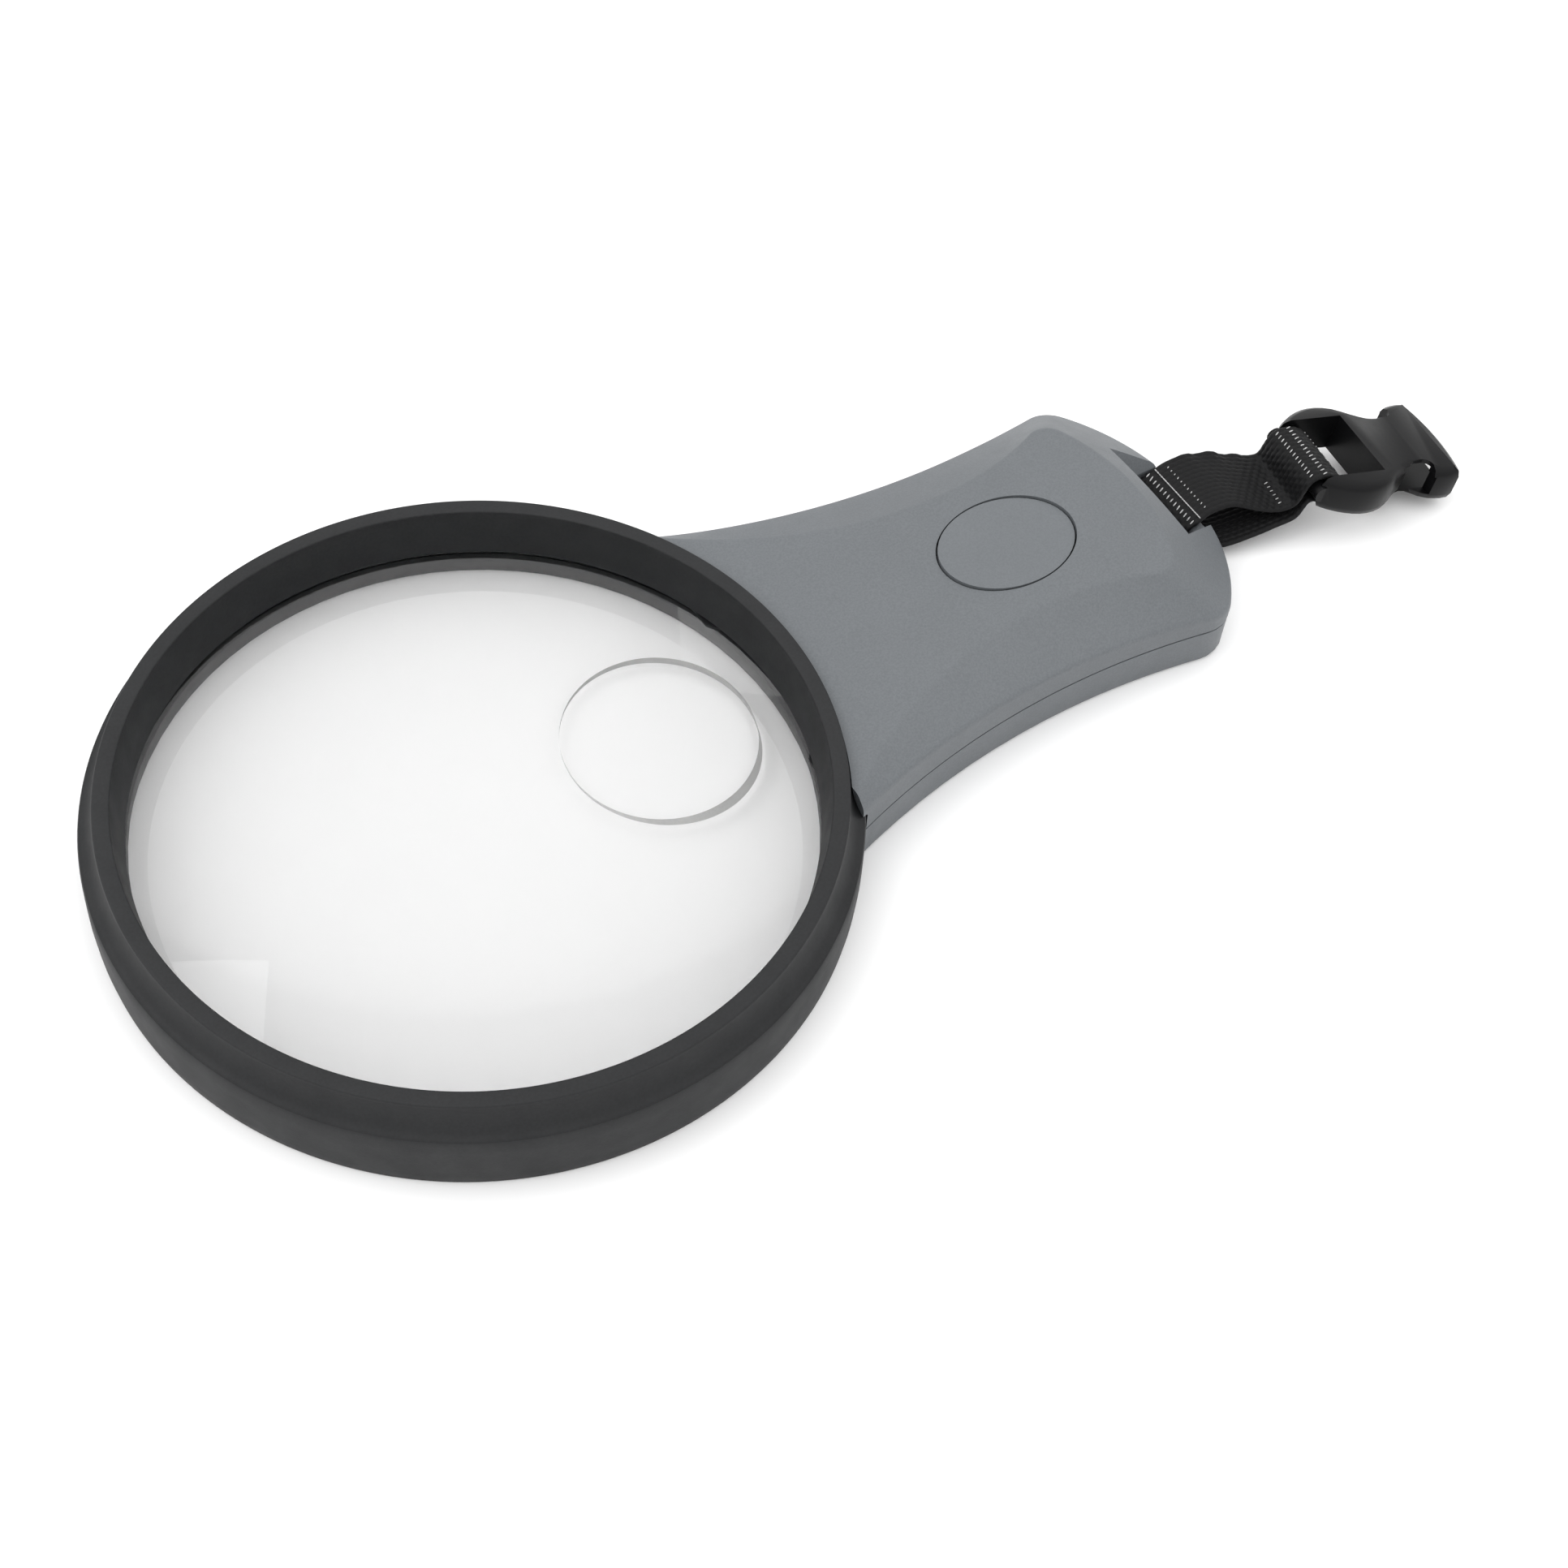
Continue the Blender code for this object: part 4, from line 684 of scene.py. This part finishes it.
def scoop():
    bm = bmesh.new()
    rise = SCOOP_Z[1] - SCOOP_Z[0]
    for height, front, half in ((SCOOP_Z[0], SLOT_X, SLOT_HALF),
                                (SCOOP_Z[1], SLOT_X - SCOOP_LEAN * rise,
                                 SLOT_HALF + SCOOP_FLARE * rise)):
        for x in (front, SLOT_X + FAR):
            for side in (1, -1):
                bm.verts.new((x, side * half, height))
    bmesh.ops.convex_hull(bm, input=bm.verts)
    return bm


def make_upper_shell():
    shell = place("upper_shell", shell_form(SHELL_BOTTOM))
    cavity = place("cavity", shell_form(SHELL_BOTTOM - 1, SHELL_T))
    block = bmesh.new()
    add_box(block, (SLOT_X - 5.2, SLOT_X + FAR), (-13.2, 13.2), (-FAR, FAR))
    slot = bmesh.new()
    add_box(slot, (SLOT_X, SLOT_X + FAR), (-SLOT_HALF, SLOT_HALF), (-FAR, FAR))
    carve(cavity, [(place("neck", cylinder((0, 0), (NECK_R, NECK_R), (-FAR, FAR), 180)),
                    "DIFFERENCE"), (place("block", block), "DIFFERENCE")])
    steps = [(cavity, "DIFFERENCE")]
    for x, y, top in ((69.5, 18.5, plateau_height(69.5) - 1.6), (130.7, 15.6, 11.3)):
        foot = 7.1 if x < BUTTON[0] else SHELL_BOTTOM
        for side in (1, -1):
            steps.append((place("boss", cylinder((x, side * y), (2.6, 2.6), (foot, top))), "UNION"))
            steps.append((place("pilot", cylinder((x, side * y), (1.3, 1.3), (-FAR, 10.8))),
                          "DIFFERENCE"))
    hole = cylinder((BUTTON[0], 0), BUTTON[1:], (12, FAR), 128)
    steps += [(place("button_hole", hole), "DIFFERENCE"),
              (place("rim_clearance", rim_clearance()), "DIFFERENCE"),
              (place("slot", slot), "DIFFERENCE"), (place("scoop", scoop()), "DIFFERENCE")]
    carve(shell, steps)
    shell.data.materials.clear()
    shell.data.materials.append(LOOKS["grey"])
    smooth_by_angle(shell, 28)
    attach(shell, "handle")
    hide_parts("handle_upper_shell")


# ---------------------------------------------------------------- strap webbing

def webbing_path():
    """Middle line of the webbing loop, with the direction across the webbing at each point."""
    wrap = 0.3 + 0.65
    half_x, half_z = BAR_SIZE[0] / 2 + wrap, BAR_SIZE[1] / 2 + wrap
    straight = Vector((0, 1, 0))
    across = BUCKLE_TURN @ straight
    near_bar = []
    for i in range(9):
        angle = -math.pi / 2 - math.pi * i / 8
        near_bar.append(BAR + Vector((half_x * math.cos(angle), 0.5 * math.sin(angle),
                                      half_z * math.sin(angle))))
    loop_r = BUCKLE_BAR_R + wrap
    bend = [(-2.7, 0, 0.2), (-1.8, 0, 2.0), (0.2, 0, loop_r + 0.2), (2.9, 0, 2.2), (5.0, 0, 0.5),
            (4.6, 0, -1.5), (2.2, 0, -loop_r - 0.2), (-0.8, 0, -loop_r - 0.3)]
    at_buckle = [BUCKLE_BAR + BUCKLE_TURN @ Vector(point) for point in bend]
    corners = near_bar + [Vector(point) for point in UPPER_STRAND] + at_buckle
    corners += [Vector(point) for point in reversed(LOWER_STRAND)]
    turns = [0.0] * len(near_bar) + list(UPPER_TURN) + [1.0] * len(at_buckle)
    turns += list(reversed(LOWER_TURN))
    lifts = [0.0] * len(near_bar) + list(UPPER_LIFT)
    lifts += [0.0] * (len(at_buckle) + len(LOWER_STRAND))
    middle = smooth_curve(corners, 12, closed=True)
    shares = smooth_curve([(turn, 0, lift) for turn, lift in zip(turns, lifts)], 12, closed=True)
    return [(point, (straight.lerp(across, share.x) + Vector((0, 0, share.z))).normalized())
            for point, share in zip(middle, shares)]


def resample(path, pitch):
    """The path again with points an equal distance apart."""
    points = path + [path[0]]
    lengths = [0.0]
    for a, b in zip(points, points[1:]):
        lengths.append(lengths[-1] + (b[0] - a[0]).length)
    count = round(lengths[-1] / pitch)
    result = []
    k = 0
    for i in range(count):
        target = lengths[-1] * i / count
        while lengths[k + 1] < target:
            k += 1
        share = (target - lengths[k]) / (lengths[k + 1] - lengths[k])
        result.append((points[k][0].lerp(points[k + 1][0], share),
                       points[k][1].lerp(points[k + 1][1], share).normalized()))
    return result, lengths[-1]


def make_webbing():
    """A woven band: lengthwise ribs, cross threads that alternate between them, bound edges."""
    path, length = resample(webbing_path(), WEB_PICK / 4)
    count = len(path)
    ribs = round(2 * WEB_HALF / WEB_RIB)
    steps = ribs * 6
    bm = bmesh.new()
    sections = []
    for i, (point, across) in enumerate(path):
        tangent = (path[(i + 1) % count][0] - path[i - 1][0]).normalized()
        normal = tangent.cross(across).normalized()
        along = length * i / count
        from_bars = min((point - BAR).length, (point - BUCKLE_BAR).length)
        free = min(1.0, max(0.0, (from_bars - 6.0) / 3))
        ring = []
        for face in (1, -1):
            for k in range(steps + 1):
                share = k / steps if face == 1 else 1 - k / steps
                offset = WEB_HALF * (2 * share - 1)
                phase = math.pi * share * ribs
                rib = abs(math.sin(phase)) ** 0.6
                odd = int(share * ribs) % 2
                pick = math.sin(2 * math.pi * along / (2 * WEB_PICK) + math.pi * odd)
                edge = math.sqrt(max(0.0, 1 - (abs(offset) / WEB_HALF) ** 24))
                curl = free * WAVE[0] * math.sin(2 * math.pi * along / WAVE[1])
                curl *= max(0.0, offset / WEB_HALF) ** 3
                height = (WEB_T / 2 - 0.20 + 0.14 * rib + 0.06 * rib * pick) * (0.35 + 0.65 * edge)
                ring.append(bm.verts.new(point + across * offset + normal * (height * face + curl)))
        sections.append(ring)
    loft(bm, sections, closed_stack=True)
    band = piece("strap_band", bm, LOOKS["web"], "strap", ("strap_webbing",),
                 smooth=80)


def add_bead(bm, center, along, across, length, radius):
    """A short rod with rounded ends, used for the painted glints."""
    up = along.cross(across).normalized()
    side = up.cross(along).normalized()
    rings = []
    for share, width in ((-0.5, 0.35), (-0.3, 0.9), (0.0, 1.0), (0.3, 0.9), (0.5, 0.35)):
        middle = center + along * length * share
        rings.append([bm.verts.new(middle + (side * math.cos(turn) + up * math.sin(turn))
                                   * radius * width)
                      for turn in (2 * math.pi * k / 6 for k in range(6))])
    loft(bm, rings)
    bm.faces.new(rings[0])
    bm.faces.new(rings[-1])


def make_painted_glints():
    """Pale rods in rows where the webbing bends over a bar: painted glints for the light off the
    weave there.
    """
    path, length = resample(webbing_path(), WEB_PICK / 4)
    count = len(path)

    def local(x, z):
        return BUCKLE_BAR + BUCKLE_TURN @ Vector((x, 0, z))

    rows = [(Vector((136.9, 0, 8.6)), 14, 1.0, 0.9), (Vector((140.8, 1.0, 8.5)), 12, 0.45, 0.35),
            (local(-2.6, 1.0), 13, 0.8, 0.6), (local(-1.7, 2.1), 13, 0.8, 0.7),
            (local(0.4, 3.0), 14, 1.1, 0.9), (local(4.2, 1.8), 13, 0.45, 0.45),
            (Vector((155.2, -3.6, 7.3)), 6, 0.7, 0.6), (Vector((142.0, -1.8, 1.6)), 6, 0.4, 0.4)]
    bm = bmesh.new()
    for target, dots, reach, share in rows:
        i = min(range(count), key=lambda k: (path[k][0] - target).length)
        point, across = path[i]
        tangent = (path[(i + 1) % count][0] - path[i - 1][0]).normalized()
        normal = tangent.cross(across).normalized()
        for dot in range(dots):
            offset = (dot - (dots - 1) / 2) * WEB_RIB * 0.98
            if dots < 10:
                offset -= 3.0
            wobble = noise.noise(Vector((offset, i, 0)))
            along = (tangent + across * (0.35 + 0.25 * wobble)).normalized()
            for face in (1, -1):
                center = point + across * offset + normal * face * (WEB_T / 2 - 0.02)
                outward = (center - middle_of_loop(path)).dot(normal * face) > 0
                if outward:
                    add_bead(bm, center, along, across, reach * (1 + 0.3 * wobble),
                             0.11 * (0.7 + share * 0.5))
    # A continuous pale row on the crest over the bar: a painted highlight line
    i = min(range(count), key=lambda k: (path[k][0] - Vector((138.6, 0.5, 8.9))).length)
    point, across = path[i]
    tangent = (path[(i + 1) % count][0] - path[i - 1][0]).normalized()
    normal = tangent.cross(across).normalized()
    if normal.z < 0:
        normal = -normal
    for step in range(22):
        offset = (step - 10.5) * 0.6
        add_bead(bm, point + across * offset + normal * (WEB_T / 2), across, tangent, 0.72, 0.13)
    threads = piece("strap_painted_glints", bm, LOOKS["glint"], "strap", smooth=60)
    return threads


def middle_of_loop(path):
    return sum((point for point, across in path), Vector()) / len(path)


# ---------------------------------------------------------------- carried-over nodes

def finish_node(name, look, smooth=32, bevel=0.0):
    node = NODES[name]
    node.data.materials.clear()
    node.data.materials.append(LOOKS[look])
    if bevel:
        modifier = node.modifiers.new("weld", "WELD")
        modifier.merge_threshold = 0.002 * MM
        flat = node.modifiers.new("flat", "DECIMATE")
        flat.decimate_type = "DISSOLVE"
        flat.angle_limit = math.radians(1.5)
        edge = node.modifiers.new("edge", "BEVEL")
        edge.width = bevel * MM
        edge.segments = 2
        edge.limit_method = "ANGLE"
        edge.angle_limit = math.radians(38)
        edge.use_clamp_overlap = True
        smooth_by_angle(node, smooth, weld=False)
    else:
        smooth_by_angle(node, smooth)


def finish_nodes():
    finish_node("handle_lower_shell", "grey", 24)
    finish_node("light_button", "button", 30)
    finish_node("battery_door", "grey", 30)
    finish_node("lens_retaining_ring", "ring", 40)
    finish_node("buckle_socket", "buckle", 40)
    finish_node("circuit_board", "board")
    finish_node("resistor", "tan")
    finish_node("switch_body", "dark")
    finish_node("switch_plunger", "red")
    finish_node("led_holder", "ivory")
    finish_node("led_window", "window")
    finish_node("battery_lead_red", "red_wire", 60)
    finish_node("led_lead_red", "red_wire", 60)
    finish_node("battery_lead_black", "black_wire", 60)
    finish_node("led_lead_black", "black_wire", 60)
    for index in (1, 2):
        finish_node(f"board_screw_{index}", "steel")
        finish_node(f"led_{index}", "led", 40)
        finish_node(f"battery_{index}", "cell", 40)
    for index in (1, 2, 3, 4):
        finish_node(f"shell_screw_{index}", "steel")
    for name in ("contact_bridge", "terminal_positive", "terminal_negative", "spring_front",
                 "spring_rear"):
        finish_node(name, "nickel", 60)


# ---------------------------------------------------------------- stage

SKY = (0.74, 1.72)             # brightness of the studio at the horizon and overhead


def make_floor():
    bm = bmesh.new()
    bmesh.ops.create_grid(bm, x_segments=8, y_segments=8, size=3.0)
    mesh = bpy.data.meshes.new("floor")
    bm.to_mesh(mesh)
    bm.free()
    mesh.materials.append(floor_material())
    floor = bpy.data.objects.new("floor", mesh)
    floor.location.z = -0.02 * MM
    bpy.context.scene.collection.objects.link(floor)


def make_light(name, place, target, size, energy):
    light = bpy.data.lights.new(name, "AREA")
    light.shape = "SQUARE"
    light.size = size
    light.energy = energy
    obj = bpy.data.objects.new(name, light)
    obj.location = place
    obj.rotation_euler = (Vector(target) - obj.location).to_track_quat("-Z", "Y").to_euler()
    bpy.context.scene.collection.objects.link(obj)


def make_world():
    world = bpy.data.worlds.new("studio")
    bpy.context.scene.world = world
    world.use_nodes = True
    nodes = world.node_tree.nodes
    links = world.node_tree.links
    split = nodes.new("ShaderNodeSeparateXYZ")
    rise = nodes.new("ShaderNodeMapRange")
    rise.inputs["To Min"].default_value = SKY[0]
    rise.inputs["To Max"].default_value = SKY[1]
    links.new(nodes.new("ShaderNodeTexCoord").outputs["Generated"], split.inputs["Vector"])
    links.new(split.outputs["Z"], rise.inputs["Value"])
    links.new(rise.outputs["Result"], nodes["Background"].inputs["Strength"])
    nodes["Background"].inputs["Color"].default_value = (1, 1, 1, 1)


def make_camera():
    """Stands above the lens's near side and looks along the handle, with a slight roll."""
    origin = Vector((AXIS_X, 0, 0))
    place = origin + Vector((-105.42, -217.67, 341.42)) * MM
    target = origin + Vector((48.6, -13.8, 0)) * MM
    roll = math.radians(6.13)
    ahead = (target - place).normalized()
    right = ahead.cross(Vector((0, 0, 1))).normalized()
    up = right.cross(ahead)
    level_right = right * math.cos(roll) + up * math.sin(roll)
    level_up = up * math.cos(roll) - right * math.sin(roll)
    data = bpy.data.cameras.new("camera")
    data.sensor_width = 36
    data.lens = 60.09
    data.clip_start = 0.01
    camera = bpy.data.objects.new("camera", data)
    turn = Matrix((level_right, level_up, -ahead)).transposed().to_4x4()
    camera.matrix_world = Matrix.Translation(place) @ turn
    bpy.context.scene.collection.objects.link(camera)
    bpy.context.scene.camera = camera


make_camera()
make_world()
make_light("key", (-0.9, 0.5, 1.2), (0, 0, 0), 1.0, 5)
make_floor()
bpy.context.scene.view_settings.view_transform = "Standard"

make_rim()
make_lens()
make_upper_shell()
make_webbing()
make_painted_glints()
finish_nodes()
